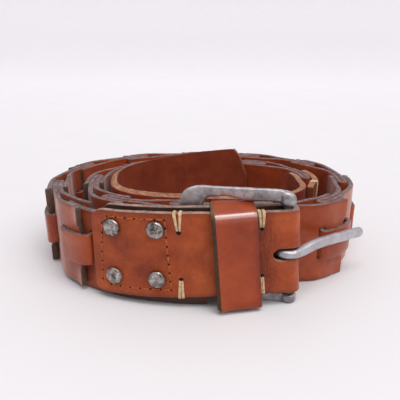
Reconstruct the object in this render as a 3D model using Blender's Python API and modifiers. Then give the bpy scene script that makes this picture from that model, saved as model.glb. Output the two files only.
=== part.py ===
# A leather belt of folded links, coiled and stood on its edge.
# Metres, +Z up. The front of the coil faces -Y, and the floor is Z = 0.

import math

import bmesh
import bpy
import numpy as np
from mathutils import Matrix, Vector

MM = 0.001

# Sizes of the coil
COIL_WIDTH = 151.5 * MM
COIL_DEPTH = 111.0 * MM
COIL_SQUARENESS = 2.3
BELT_LENGTH = 905.0 * MM
BAR_TURN = -0.103

# Sizes of the leather
STRAP_WIDTH = 40.0 * MM
CHAPE_WIDTH = 41.0 * MM
CHAPE_LEATHER = 3.0 * MM
BASE_LEATHER = 3.4 * MM
LINK_LEATHER = 2.3 * MM
TAIL_LEATHER = 3.4 * MM
KEEPER_LEATHER = 1.5 * MM
LAYER_GAP = 0.38 * MM

# Sizes of the strap's end at the buckle
CHAPE_LENGTH = 86.5 * MM
BASE_START = 35.6 * MM
STRAP_LIFT = 5.3 * MM
BASE_LIFT = 0.7 * MM
PRONG_SLOT_HEIGHT = 6.0 * MM
PRONG_SLOT_REACH = 7.6 * MM
PRONG_SLOT_ROUND = 1.4 * MM
CHAPE_CORNER = 5.0 * MM

# Sizes of the links
LINK_AFTER_CHAPE = 7.5 * MM
LINK_PITCH = 35.5 * MM
LINK_OVERLAP = 14.0 * MM
LINK_COUNT = 16
TONGUE_WIDTH = 15.0 * MM
TONGUE_REACH = 5.0 * MM
TONGUE_COVER = 14.5 * MM
TONGUE_CHAMFER = 0.35
LINK_RELIEF = 1.0 * MM

# Sizes of the free end
TAIL_FLAP = 28.0 * MM
TAIL_TIP = 16.0 * MM

# Sizes of the keeper
KEEPER_START = 13.3 * MM
KEEPER_WIDTH = 19.4 * MM
KEEPER_LOOSENESS = 4.3 * MM
KEEPER_NEAR_SHARE = 0.3
KEEPER_BACK_GAP = 0.53 * MM
KEEPER_SAG = 1.9 * MM
KEEPER_CORNER = 0.8 * MM

# Sizes of the rivets
RIVET_HEAD = 8.0 * MM
RIVET_HEAD_HEIGHT = 1.5 * MM
RIVET_SHANK = 3.0 * MM
RIVET_BURR = 6.0 * MM
RIVET_BURR_HEIGHT = 0.9 * MM
RIVET_EDGE = 0.25 * MM
RIVET_FROM_END = (29.5 * MM, 10.3 * MM)
RIVET_HEIGHTS = (13.0 * MM, -10.6 * MM)

# Sizes of the buckle
FRAME_ABOVE = 8.5 * MM
FRAME_REACH = 50.3 * MM
FRAME_CORNER = 14.0 * MM
FRAME_FAR_RAIL = 8.0 * MM
FRAME_DEPTH = 4.6 * MM
FRAME_TURN = math.radians(-20.5)
KNUCKLE = 7.4 * MM
BAR_CLEARANCE = 0.3 * MM
BAR_FACET_TURN = math.radians(15)
KNUCKLE_FACET_TURN = math.radians(5)
PRONG_LENGTH = 49.0 * MM
PRONG_THICKNESS = 4.2 * MM
PRONG_HEIGHT = 5.2 * MM
PRONG_TURN = math.radians(28.0)
PRONG_DROOP = 3.0 * MM

# What follows from the sizes above
FRAME_HEIGHT = STRAP_LIFT + CHAPE_WIDTH + FRAME_ABOVE
FIRST_LINK = CHAPE_LENGTH + LINK_AFTER_CHAPE
CHAPE_INNER = BASE_LEATHER / 2 + LAYER_GAP
CHAPE_OUTER = CHAPE_INNER + CHAPE_LEATHER
BAR_RADIUS = CHAPE_INNER - BAR_CLEARANCE
LINK_PACK = 4 * LINK_LEATHER + 3 * LAYER_GAP
COIL_SPACING = LINK_PACK + LINK_LEATHER + 2 * LAYER_GAP
TAIL_START = FIRST_LINK + LINK_COUNT * LINK_PITCH
TONGUE_CLEARANCE = 0.6 * MM
TAIL_SETTLE = 30.0 * MM

# How far apart a strip's rows are: along the links, along the plain straps and next to a slot
STATION = 6.5 * MM
LONG_STATION = 8.0 * MM
SLOT_STATION = 0.8 * STATION

# The spiral, clockwise from the front as seen from above: turn is the way round, inset how far inside the
# outer oval the belt runs, in thicknesses of the chain, and lift how high it is raised, in strap lifts.
SPIRAL = (
    {"turn": -0.16, "inset": -0.45, "lift": 1.00},
    {"turn": -0.11, "inset": -0.22, "lift": 1.00},
    {"turn": -0.05, "inset": 0.00, "lift": 1.00},
    {"turn": 0.01, "inset": 0.02, "lift": 0.97},
    {"turn": 0.07, "inset": 0.12, "lift": 0.80},
    {"turn": 0.14, "inset": 0.24, "lift": 0.50},
    {"turn": 0.20, "inset": 0.26, "lift": 0.22},
    {"turn": 0.26, "inset": 0.06, "lift": 0.08},
    {"turn": 0.34, "inset": 0.00, "lift": 0.00},
    {"turn": 0.50, "inset": 0.00, "lift": 0.00},
    {"turn": 0.62, "inset": 0.02, "lift": 0.00},
    {"turn": 0.75, "inset": 0.00, "lift": 0.00},
    {"turn": 0.81, "inset": 0.42, "lift": 0.00},
    {"turn": 0.87, "inset": 1.04, "lift": 0.00},
    {"turn": 0.93, "inset": 1.42, "lift": 0.00},
    {"turn": 1.00, "inset": 1.69, "lift": 0.00},
    {"turn": 1.08, "inset": 1.73, "lift": 0.00},
    {"turn": 1.18, "inset": 1.56, "lift": 0.00},
    {"turn": 1.27, "inset": 1.44, "lift": 0.00},
    {"turn": 1.38, "inset": 1.25, "lift": 0.00},
    {"turn": 1.50, "inset": 1.07, "lift": 0.00},
    {"turn": 1.62, "inset": 1.10, "lift": 0.00},
    {"turn": 1.75, "inset": 1.38, "lift": 0.00},
    {"turn": 1.84, "inset": 1.82, "lift": 0.00},
    {"turn": 1.92, "inset": 2.24, "lift": 0.02},
    {"turn": 2.02, "inset": 2.45, "lift": 0.06},
    {"turn": 2.14, "inset": 2.33, "lift": 0.18},
    {"turn": 2.25, "inset": 2.10, "lift": 0.42},
    {"turn": 2.38, "inset": 1.82, "lift": 0.88},
    {"turn": 2.50, "inset": 1.67, "lift": 1.65},
    {"turn": 2.60, "inset": 1.69, "lift": 2.20},
    {"turn": 2.80, "inset": 1.88, "lift": 2.45},
)

# The free end's outline: reach is how far along the tip, trim what is cut from either edge, in strap widths.
TIP_OUTLINE = (
    {"reach": 0.38, "trim": 0.000},
    {"reach": 0.50, "trim": 0.012},
    {"reach": 0.59, "trim": 0.055},
    {"reach": 0.69, "trim": 0.110},
    {"reach": 0.78, "trim": 0.190},
    {"reach": 0.86, "trim": 0.285},
    {"reach": 0.98, "trim": 0.400},
)

# The buckle frame's rails at shares of its reach from the bar: how wide the upper and the lower one are, in
# widths of the far rail. The lower one is thin where the keeper crosses it.
RAIL_WIDTHS = (
    {"share": 0.02, "upper": 0.66, "lower": 0.60},
    {"share": 0.18, "upper": 0.68, "lower": 0.56},
    {"share": 0.27, "upper": 0.70, "lower": 0.38},
    {"share": 0.45, "upper": 0.72, "lower": 0.38},
    {"share": 0.70, "upper": 0.80, "lower": 0.38},
)

# The prong's shaft, at shares of its length from the bar: its rise above the bar's middle, in droops, and how
# far it is beaten out from the rod's thickness to its full height.
PRONG_LINE = (
    {"share": -0.02, "rise": 0.00, "height": 0.0},
    {"share": 0.10, "rise": -0.05, "height": 0.2},
    {"share": 0.22, "rise": 0.06, "height": 0.7},
    {"share": 0.38, "rise": 0.06, "height": 1.0},
    {"share": 0.55, "rise": -0.25, "height": 1.0},
    {"share": 0.75, "rise": -0.62, "height": 1.0},
    {"share": 0.96, "rise": -1.00, "height": 0.9},
    {"share": 0.99, "rise": -1.03, "height": 0.3},
    {"share": 1.00, "rise": -1.05, "height": -1.5},
)

for old in list(bpy.data.objects):
    bpy.data.objects.remove(old, do_unlink=True)

belt = bpy.data.collections.new("belt")
bpy.context.scene.collection.children.link(belt)
cutters = bpy.data.collections.new("cutters")
bpy.context.scene.collection.children.link(cutters)


def material(name, colour, roughness, metallic=0.0):
    made = bpy.data.materials.new(name)
    made.use_nodes = True
    shader = made.node_tree.nodes["Principled BSDF"]
    shader.inputs["Base Color"].default_value = (*colour, 1.0)
    shader.inputs["Roughness"].default_value = roughness
    shader.inputs["Metallic"].default_value = metallic
    return made


STRAP_TAN = material("strap_tan", (0.34, 0.085, 0.025), 0.45)
LINK_BROWN = material("link_brown", (0.26, 0.07, 0.035), 0.45)
TAIL_BROWN = material("tail_brown", (0.13, 0.025, 0.01), 0.5)
KEEPER_RED = material("keeper_red", (0.27, 0.055, 0.02), 0.25)
PEWTER = material("pewter", (0.30, 0.30, 0.32), 0.4, 1.0)
PRONG_GREY = material("prong_grey", (0.45, 0.45, 0.48), 0.35, 1.0)


def smooth(table, column, turns):
    """A column of the spiral's table at each of the turns, with its corners rounded off."""
    knots = np.array([row["turn"] for row in table])
    values = np.array([row[column] for row in table])
    slopes = np.gradient(values, knots)
    right = np.clip(np.searchsorted(knots, turns), 1, len(knots) - 1)
    left = right - 1
    gap = knots[right] - knots[left]
    t = (turns - knots[left]) / gap
    rise = t * t * (3 - 2 * t)
    return ((1 - rise) * values[left] + rise * values[right]
            + gap * (t * (1 - t) ** 2 * slopes[left] - t * t * (1 - t) * slopes[right]))


def oval(turns):
    """Points of the outer oval at each of the turns, clockwise from the front."""
    angle = 2 * np.pi * turns
    east, north = -np.sin(angle), -np.cos(angle)
    power = COIL_SQUARENESS
    reach = (np.abs(2 * east / COIL_WIDTH) ** power + np.abs(2 * north / COIL_DEPTH) ** power) ** (-1 / power)
    return reach * east, reach * north


TURNS = np.linspace(SPIRAL[0]["turn"], SPIRAL[-1]["turn"], 4001)
OVAL_X, OVAL_Y = oval(TURNS)
OVAL_DX, OVAL_DY = np.gradient(OVAL_X), np.gradient(OVAL_Y)
OVAL_STEP = np.hypot(OVAL_DX, OVAL_DY)
INSET = smooth(SPIRAL, "inset", TURNS) * COIL_SPACING
PATH_X = OVAL_X + INSET * OVAL_DY / OVAL_STEP
PATH_Y = OVAL_Y - INSET * OVAL_DX / OVAL_STEP
PATH_DX, PATH_DY = np.gradient(PATH_X), np.gradient(PATH_Y)
PATH_STEP = np.hypot(PATH_DX, PATH_DY)
PATH_LENGTH = np.concatenate(([0.0], np.cumsum(np.hypot(np.diff(PATH_X), np.diff(PATH_Y)))))
PATH_LENGTH -= np.interp(BAR_TURN, TURNS, PATH_LENGTH)
LIFT = np.maximum(0, smooth(SPIRAL, "lift", TURNS)) * STRAP_LIFT


def heading(along):
    """The belt's direction at a length along it, and its outward normal. It runs straight before the bar."""
    dx = np.interp(max(along, 0), PATH_LENGTH, PATH_DX / PATH_STEP)
    dy = np.interp(max(along, 0), PATH_LENGTH, PATH_DY / PATH_STEP)
    direction = Vector((dx, dy, 0)).normalized()
    return direction, Vector((-direction.y, direction.x, 0))


def place(along, out, height):
    """A point of the belt: its length along, how far outside the centre line, and its height."""
    x = np.interp(max(along, 0), PATH_LENGTH, PATH_X)
    y = np.interp(max(along, 0), PATH_LENGTH, PATH_Y)
    direction, normal = heading(along)
    return Vector((x, y, height)) + direction * min(along, 0) + normal * out


def lift(along):
    return float(np.interp(along, PATH_LENGTH, LIFT))


def show(name, mesh, look, collection=belt):
    thing = bpy.data.objects.new(name, mesh)
    thing.data.materials.append(look)
    collection.objects.link(thing)
    return thing


def finish_mesh(name, build, look):
    """Make an object of a closed bmesh, with its faces pointing out."""
    bmesh.ops.recalc_face_normals(build, faces=build.faces[:])
    mesh = bpy.data.meshes.new(name)
    build.to_mesh(mesh)
    build.free()
    mesh.shade_smooth()
    mesh.set_sharp_from_angle(angle=math.radians(35))
    return show(name, mesh, look)


def offset_sides(line, thickness):
    """Both sides of a strip of leather whose middle runs along a line of (along, out) points."""
    points = [Vector(p) for p in line]
    sides = []
    for i, point in enumerate(points):
        before = (point - points[i - 1]).normalized() if i else None
        after = (points[i + 1] - point).normalized() if i + 1 < len(points) else None
        before = before or after
        after = after or before
        mitre = Vector((-(before.y + after.y), before.x + after.x)).normalized()
        stretch = 1 / max(0.5, mitre.dot(Vector((-before.y, before.x))))
        side = mitre * (thickness / 2 * stretch)
        sides.append((point + side, point - side))
    return sides


def strip_body(name, sides, levels, cells, look):
    """
    A strip of leather as one closed body. sides holds the two faces' (along, out) points row by row, levels
    the heights of each row from bottom to top, and cells which of the bands between those heights are there
    from each row to the next.
    """
    build = bmesh.new()
    corners = []
    for row, (left, right) in enumerate(sides):
        spots = []
        for height in levels[row]:
            spots.append([build.verts.new(place(p.x, p.y, height)) for p in (left, right)])
        corners.append(spots)

    def there(row, band):
        return 0 <= row < len(cells) and 0 <= band < len(cells[row]) and cells[row][band]

    for row in range(len(cells)):
        for band in range(len(cells[row])):
            if not there(row, band):
                continue
            low, high = corners[row][band], corners[row][band + 1]
            next_low, next_high = corners[row + 1][band], corners[row + 1][band + 1]
            for side in (0, 1):
                build.faces.new((low[side], next_low[side], next_high[side], high[side]))
            if not there(row, band - 1):
                build.faces.new((low[0], low[1], next_low[1], next_low[0]))
            if not there(row, band + 1):
                build.faces.new((high[0], high[1], next_high[1], next_high[0]))
            if not there(row - 1, band):
                build.faces.new((low[0], low[1], high[1], high[0]))
            if not there(row + 1, band):
                build.faces.new((next_low[0], next_low[1], next_high[1], next_high[0]))
    loose = [v for v in build.verts if not v.link_faces]
    bmesh.ops.delete(build, geom=loose, context="VERTS")
    return finish_mesh(name, build, look)


ALL = (True, True, True)
EARS = (True, False, True)
MIDDLE = (False, True, False)


def stations(start, end, step=STATION):
    """Lengths from start to end in even steps of about a station."""
    count = max(1, round(abs(end - start) / step))
    return [start + (end - start) * i / count for i in range(count + 1)]


class Strip:
    """Collects the rows of one strip of leather, from one end of it to the other."""

    def __init__(self, thickness, raised, centred=None, width=STRAP_WIDTH):
        self.thickness = thickness
        self.raised = raised
        self.centred = centred or raised
        self.width = width
        self.line = []
        self.levels = []
        self.cells = []

    def row(self, along, out, half_middle=TONGUE_WIDTH / 2, trim=0.0):
        bottom = self.raised(along)
        centre = self.centred(along) + self.width / 2
        top = bottom + self.width - trim
        self.line.append((along, out))
        self.levels.append((bottom + trim, centre - half_middle, centre + half_middle, top))

    def run(self, points, cells, half_middle=TONGUE_WIDTH / 2):
        """Rows at each (along, out) point, with the same bands from the last row to each of them."""
        for along, out in points:
            if self.line:
                self.cells.append(cells)
            self.row(along, out, half_middle)

    def body(self, name, look):
        return strip_body(name, offset_sides(self.line, self.thickness), self.levels, self.cells, look)


def bar_bend(radius, steps):
    """Points of the bend round the buckle's bar, from the outer layer to the inner one."""
    return [(-radius * math.sin(math.pi * i / steps), radius * math.cos(math.pi * i / steps))
            for i in range(1, steps)]


def make_chape():
    middle = CHAPE_INNER + CHAPE_LEATHER / 2
    strip = Strip(CHAPE_LEATHER, lift, width=CHAPE_WIDTH)
    slot = PRONG_SLOT_HEIGHT / 2
    narrow = slot - PRONG_SLOT_ROUND
    corner_cut = CHAPE_CORNER * (1 - math.sqrt(0.5))
    strip.row(CHAPE_LENGTH, middle, narrow, CHAPE_CORNER)
    strip.cells.append(ALL)
    strip.row(CHAPE_LENGTH - corner_cut, middle, narrow, corner_cut)
    ends = stations(CHAPE_LENGTH - CHAPE_CORNER, PRONG_SLOT_REACH, LONG_STATION)
    eased = PRONG_SLOT_REACH - PRONG_SLOT_ROUND
    strip.run([(along, middle) for along in ends], ALL, narrow)
    strip.run([(eased, middle), (0.0, middle)], EARS, slot)
    strip.run(bar_bend(middle, 10), EARS, slot)
    strip.run([(0.0, -middle), (eased, -middle)], EARS, slot)
    strip.run([(PRONG_SLOT_REACH, -middle)], EARS, narrow)
    strip.run([(along, -middle) for along in ends[::-1][1:]], ALL, narrow)
    return strip.body("chape", STRAP_TAN)


def base_lift(along):
    """The chain's first piece hangs lower than the chape it is riveted into."""
    return BASE_LIFT


def slot_rows(strip, here, opening, out_at, cells_before=ALL):
    """Rows at both edges of a slot of the given opening, centred at a length along the belt."""
    half = opening / 2
    way = 1 if here > strip.line[-1][0] else -1
    near, far = here - way * half, here + way * half
    width = (TONGUE_WIDTH + TONGUE_CLEARANCE) / 2
    strip.run([(near, out_at(near))], cells_before, width)
    strip.run([(far, out_at(far))], EARS, width)


def make_base_strap():
    slot = FIRST_LINK - TONGUE_REACH
    strip = Strip(BASE_LEATHER, base_lift, lambda along: lift(slot))
    opening = LINK_LEATHER + TONGUE_CLEARANCE
    strip.run([(along, 0.0) for along in stations(BASE_START, slot - STATION, LONG_STATION)], ALL)
    slot_rows(strip, slot, opening, lambda along: 0.0)
    strip.run([(along, 0.0) for along in stations(slot + STATION, FIRST_LINK + LINK_OVERLAP)], ALL)
    return strip.body("base_strap", STRAP_TAN)


def tongue_points(start, spread, thickness, cover):
    """
    The tongue's middle line: from the inner plate's shoulder, out through the slot of the piece before, and
    back over the outer plate to its end in that plate's own slot. spread is the plates' distance from the
    centre line.
    """
    slot = start - TONGUE_REACH
    above = spread + LINK_LEATHER / 2 + LAYER_GAP + thickness / 2
    chamfer = TONGUE_CHAMFER * thickness
    rise_from = spread - chamfer
    return [
        (slot + chamfer, -spread),
        (slot, -spread + chamfer),
        (slot, rise_from),
        (slot + 0.55 * (above - rise_from), rise_from + 0.75 * (above - rise_from)),
        (slot + 1.1 * (above - rise_from), above),
        (start + 0.45 * cover, above),
        (start + cover - chamfer, above),
        (start + cover, above - chamfer),
        (start + cover, spread),
    ]


def make_link(number):
    start = FIRST_LINK + number * LINK_PITCH
    end = start + LINK_PITCH + LINK_OVERLAP
    half = LINK_LEATHER / 2
    held = BASE_LEATHER if number == 0 else 2 * LINK_LEATHER + LAYER_GAP
    wide = held / 2 + LAYER_GAP + half
    closed = LAYER_GAP / 2 + half
    past_held = start + LINK_OVERLAP + LINK_RELIEF
    next_slot = start + LINK_PITCH - TONGUE_REACH
    next_thickness = TAIL_LEATHER if number == LINK_COUNT - 1 else LINK_LEATHER
    opening = next_thickness + TONGUE_CLEARANCE

    def outer(along):
        share = min(1.0, max(0.0, (along - past_held) / (next_slot - 2 * half - past_held)))
        return wide + (closed - wide) * share

    strip = Strip(LINK_LEATHER, lift)
    tuck = start + TONGUE_COVER
    strip.run([(start, outer(start))], ALL)
    strip.run([(along, outer(along)) for along in stations(start, tuck - STATION)[1:]], ALL)
    slot_rows(strip, tuck, LINK_LEATHER + TONGUE_CLEARANCE, outer)
    between = stations(tuck + SLOT_STATION, next_slot - SLOT_STATION)
    strip.run([(along, outer(along)) for along in between], ALL)
    slot_rows(strip, next_slot, opening, outer)
    last = stations(next_slot + SLOT_STATION, end - 2 * half)
    strip.run([(along, outer(along)) for along in last], ALL)
    turn_start = len(strip.line)
    strip.run([(end - half, 0.55 * closed), (end - half, -0.55 * closed)], ALL)
    strip.run([(along, -outer(along)) for along in last[::-1]], ALL)
    slot_rows(strip, next_slot, opening, lambda along: -outer(along))
    strip.run([(along, -outer(along)) for along in stations(next_slot - SLOT_STATION, start)], ALL)
    strip.run(tongue_points(start, wide, LINK_LEATHER, TONGUE_COVER), MIDDLE)

    sides = offset_sides(strip.line, LINK_LEATHER)
    for row in (turn_start - 1, turn_start, turn_start + 1, turn_start + 2):
        sides[row] = fold_row(end, closed, half, row - turn_start + 1)
    return strip_body("link_%02d" % (number + 1), sides, strip.levels, strip.cells, LINK_BROWN)


def fold_row(end, closed, half, step):
    """Both faces of a link's closed end at one of the four rows of its fold, the outer face first."""
    gap = closed - half
    side = 1 if step < 2 else -1
    if step in (0, 3):
        return Vector((end - 2 * half, side * (closed + half))), Vector((end - 2 * half, side * gap))
    return Vector((end, side * 0.62 * (closed + half))), Vector((end - 1.7 * half, side * 0.5 * gap))


def make_tail_strap():
    half = TAIL_LEATHER / 2
    held = 2 * LINK_LEATHER + LAYER_GAP
    spread = held / 2 + LAYER_GAP + half
    strip = Strip(TAIL_LEATHER, lift)

    def inner(along):
        share = min(1.0, max(0.0, (along - TAIL_START - LINK_OVERLAP) / (TAIL_SETTLE - LINK_OVERLAP)))
        return -spread + share * share * (3 - 2 * share) * (spread - half - LAYER_GAP)

    def flap(along):
        share = min(1.0, max(0.0, (along - TAIL_START - LINK_OVERLAP) / (TAIL_FLAP - LINK_OVERLAP)))
        return spread + share * share * (3 - 2 * share) * (inner(along) + 2 * half + LAYER_GAP - spread)

    slot = TAIL_START - TONGUE_REACH
    chamfer = TONGUE_CHAMFER * TAIL_LEATHER
    strip.run([(along, flap(along)) for along in stations(TAIL_START + TAIL_FLAP, TAIL_START)], ALL)
    strip.run([
        (slot + chamfer, spread),
        (slot, spread - chamfer),
        (slot, -spread + chamfer),
        (slot + chamfer, -spread),
        (TAIL_START, -spread),
    ], MIDDLE)
    near, far = TAIL_START + TAIL_SETTLE, BELT_LENGTH - TAIL_TIP
    strip.run([(along, inner(along)) for along in stations(TAIL_START, near)[1:]], ALL)
    strip.run([(along, inner(along)) for along in stations(near, far, LONG_STATION)[1:]], ALL)
    for row in TIP_OUTLINE:
        along = far + TAIL_TIP * row["reach"]
        strip.cells.append(ALL)
        strip.row(along, inner(along), TONGUE_WIDTH / 4, STRAP_WIDTH * row["trim"])
    return strip.body("tail_strap", TAIL_BROWN)


def keeper_outline(front, wall):
    """The loop's section a wall outside its inner face, as (out, up) points from the chape's middle."""
    radius = KEEPER_CORNER + wall
    right, left = front + wall, -CHAPE_OUTER - KEEPER_BACK_GAP - wall
    top = CHAPE_WIDTH / 2 + LAYER_GAP + wall
    points = []
    for x, y, turn in ((right, top, 0), (left, top, 1), (left, -top, 2), (right, -top - KEEPER_SAG, 3)):
        cx = x - radius if turn in (0, 3) else x + radius
        cy = y - radius if turn in (0, 1) else y + radius
        if turn == 3:
            points.append((CHAPE_OUTER, -top))
        for step in range(4):
            angle = math.radians(90 * turn + 30 * step)
            points.append((cx + radius * math.cos(angle), cy + radius * math.sin(angle)))
    return points


def make_keeper():
    """The loop round the chape. Its front stands off more at its far side, and sags below the chape."""
    build = bmesh.new()
    rings = []
    for along in stations(KEEPER_START, KEEPER_START + KEEPER_WIDTH):
        share = (along - KEEPER_START) / KEEPER_WIDTH
        loose = KEEPER_LOOSENESS * (KEEPER_NEAR_SHARE + (1 - KEEPER_NEAR_SHARE) * share)
        front = CHAPE_OUTER + LAYER_GAP + loose
        centre = lift(along) + CHAPE_WIDTH / 2
        ring = []
        for wall in (0.0, KEEPER_LEATHER):
            for out, up in keeper_outline(front, wall):
                ring.append(build.verts.new(place(along, out, centre + up)))
        rings.append(ring)
    count = len(rings[0]) // 2
    for first, second in zip(rings, rings[1:]):
        for wall in (0, count):
            for i in range(count):
                j = (i + 1) % count
                build.faces.new((first[wall + i], first[wall + j], second[wall + j], second[wall + i]))
    for ring in (rings[0], rings[-1]):
        for i in range(count):
            j = (i + 1) % count
            build.faces.new((ring[i], ring[j], ring[count + j], ring[count + i]))
    return finish_mesh("keeper", build, KEEPER_RED)


def screw_mesh(profile, sides, name):
    """A turned mesh about +Z from a profile of (radius, height) points, given top to bottom."""
    mesh = bpy.data.meshes.new(name)
    mesh.from_pydata([(r, 0, z) for r, z in profile], [(i, i + 1) for i in range(len(profile) - 1)], [])
    thing = bpy.data.objects.new(name, mesh)
    cutters.objects.link(thing)
    turn = thing.modifiers.new("turn", "SCREW")
    turn.steps = turn.render_steps = sides
    turn.use_merge_vertices = True
    turn.merge_threshold = 0.00001
    turned = bpy.data.meshes.new_from_object(thing.evaluated_get(bpy.context.evaluated_depsgraph_get()))
    bpy.data.objects.remove(thing, do_unlink=True)
    turned.name = name
    turned.shade_smooth()
    turned.set_sharp_from_angle(angle=math.radians(40))
    return turned


def face_out(along, height):
    """The frame of a piece set in the belt: +Z points out of it, and +Y up."""
    direction, normal = heading(along)
    turn = Matrix((Vector((0, 0, 1)).cross(normal), Vector((0, 0, 1)), normal)).transposed().to_4x4()
    return Matrix.Translation(place(along, 0, height)) @ turn


def rivet_profile():
    seat = CHAPE_OUTER + LAYER_GAP
    top = seat + RIVET_HEAD_HEIGHT
    dome = top - seat - RIVET_EDGE
    head = [(RIVET_HEAD / 2 * math.sin(angle), seat + RIVET_EDGE + dome * math.cos(angle))
            for angle in (math.radians(22.5 * i) for i in range(5))]
    burr = -CHAPE_OUTER - LAYER_GAP
    return head + [
        (RIVET_HEAD / 2, seat),
        (RIVET_SHANK / 2, seat),
        (RIVET_SHANK / 2, burr),
        (RIVET_BURR / 2, burr),
        (RIVET_BURR / 2, burr - 0.6 * RIVET_BURR_HEIGHT),
        (0.4 * RIVET_BURR, burr - RIVET_BURR_HEIGHT),
        (0.0, burr - RIVET_BURR_HEIGHT),
    ]


def make_rivets(layers):
    mesh = screw_mesh(rivet_profile(), 12, "rivet")
    mesh.materials.append(PEWTER)
    hole_radius = RIVET_SHANK / 2 + LAYER_GAP
    number = 0
    for from_end in RIVET_FROM_END:
        along = CHAPE_LENGTH - from_end
        for height in RIVET_HEIGHTS:
            number += 1
            frame = face_out(along, lift(along) + CHAPE_WIDTH / 2 + height)
            rivet = bpy.data.objects.new("rivet_%d" % number, mesh)
            rivet.matrix_world = frame
            belt.objects.link(rivet)
            bpy.ops.mesh.primitive_cylinder_add(vertices=12, radius=hole_radius, depth=4 * CHAPE_OUTER)
            hole = bpy.context.object
            hole.name = "rivet_hole_%d" % number
            hole.matrix_world = frame
            hole.hide_render = True
            hole.display_type = "WIRE"
            for other in hole.users_collection:
                other.objects.unlink(hole)
            cutters.objects.link(hole)
            for layer in layers:
                cut = layer.modifiers.new("hole_%d" % number, "BOOLEAN")
                cut.object = hole
                cut.operation = "DIFFERENCE"
                cut.solver = "EXACT"


def tube(build, points, widths, axes):
    """A closed tube of oval rings at the given points; widths and axes hold each ring's two half widths."""
    sides = 10
    rings = []
    for point, (wide, high), (across, up) in zip(points, widths, axes):
        ring = []
        for i in range(sides):
            angle = 2 * math.pi * i / sides
            spot = point + across * wide * math.cos(angle) + up * high * math.sin(angle)
            ring.append(build.verts.new(spot))
        rings.append(ring)
    for first, second in zip(rings, rings[1:]):
        for i in range(sides):
            j = (i + 1) % sides
            build.faces.new((first[i], first[j], second[j], second[i]))
    build.faces.new(rings[0])
    build.faces.new(rings[-1])


def frame_route():
    """The rail's middle points and widths, from the upper knuckle round the far end to the lower one."""
    corner = FRAME_CORNER - FRAME_FAR_RAIL / 2
    far = FRAME_REACH - FRAME_FAR_RAIL / 2
    top = (FRAME_HEIGHT - FRAME_FAR_RAIL) / 2
    bend = []
    steps = 5
    for i in range(steps + 1):
        angle = math.radians(90 * i / steps)
        spot = Vector((far - corner * (1 - math.sin(angle)), 0, top - corner * (1 - math.cos(angle))))
        bend.append((spot, FRAME_FAR_RAIL))
    halves = []
    for rail, side in (("upper", 1), ("lower", -1)):
        half = []
        for row in RAIL_WIDTHS:
            width = FRAME_FAR_RAIL * row[rail]
            half.append((Vector((far * row["share"], 0, side * (FRAME_HEIGHT - width) / 2)), width))
        halves.append(half + [(Vector((p.x, 0, side * p.z)), width) for p, width in bend])
    return halves[0] + halves[1][::-1]


def joined(name, builds, look, matrix):
    """One object from several overlapping closed bodies, joined by Boolean unions."""
    made = []
    for number, build in enumerate(builds):
        bmesh.ops.recalc_face_normals(build, faces=build.faces[:])
        mesh = bpy.data.meshes.new(name + "_piece_%d" % number)
        build.to_mesh(mesh)
        build.free()
        made.append(show(mesh.name, mesh, look, cutters))
    first = made[0]
    for other in made[1:]:
        union = first.modifiers.new(other.name, "BOOLEAN")
        union.operation = "UNION"
        union.solver = "EXACT"
        union.object = other
    mesh = bpy.data.meshes.new_from_object(first.evaluated_get(bpy.context.evaluated_depsgraph_get()))
    for piece in made:
        bpy.data.objects.remove(piece, do_unlink=True)
    mesh.name = name
    mesh.shade_smooth()
    mesh.set_sharp_from_angle(angle=math.radians(50))
    thing = bpy.data.objects.new(name, mesh)
    thing.matrix_world = matrix
    belt.objects.link(thing)
    return thing


def bar_matrix(turn):
    """The bar's own frame: +X points away from the bar, +Z up along it, turned about the bar."""
    direction = heading(0.0)[0]
    angle = math.atan2(direction.y, direction.x) + turn
    return Matrix.Translation(place(0, 0, FRAME_HEIGHT / 2)) @ Matrix.Rotation(angle, 4, "Z")


def make_buckle_frame():
    route = frame_route()
    rail = bmesh.new()
    spots = [spot for spot, width in route]
    axes = []
    for i in range(len(spots)):
        way = (spots[min(i + 1, len(spots) - 1)] - spots[max(i - 1, 0)]).normalized()
        axes.append((way.cross(Vector((0, 1, 0))).normalized(), Vector((0, 1, 0))))
    tube(rail, spots, [(width / 2, FRAME_DEPTH / 2) for spot, width in route], axes)
    bar = bmesh.new()
    depth = FRAME_HEIGHT - KNUCKLE / 2
    ends = {"radius1": BAR_RADIUS, "radius2": BAR_RADIUS}
    bmesh.ops.create_cone(bar, cap_ends=True, segments=12, depth=depth, **ends)
    bmesh.ops.rotate(bar, verts=bar.verts, matrix=Matrix.Rotation(BAR_FACET_TURN, 3, "Z"))
    knuckles = []
    for side, high in ((1, KNUCKLE), (-1, FRAME_FAR_RAIL * RAIL_WIDTHS[0]["lower"])):
        knuckle = bmesh.new()
        bmesh.ops.create_uvsphere(knuckle, u_segments=12, v_segments=8, radius=KNUCKLE / 2)
        squash = Matrix.Diagonal((1, 1, high / KNUCKLE, 1))
        middle = Matrix.Translation((0, 0, side * (FRAME_HEIGHT - high) / 2))
        facets = Matrix.Rotation(KNUCKLE_FACET_TURN, 4, "Z")
        bmesh.ops.transform(knuckle, matrix=middle @ squash @ facets, verts=knuckle.verts)
        knuckles.append(knuckle)
    return joined("buckle_frame", [rail, bar, *knuckles], PEWTER, bar_matrix(FRAME_TURN))


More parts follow.
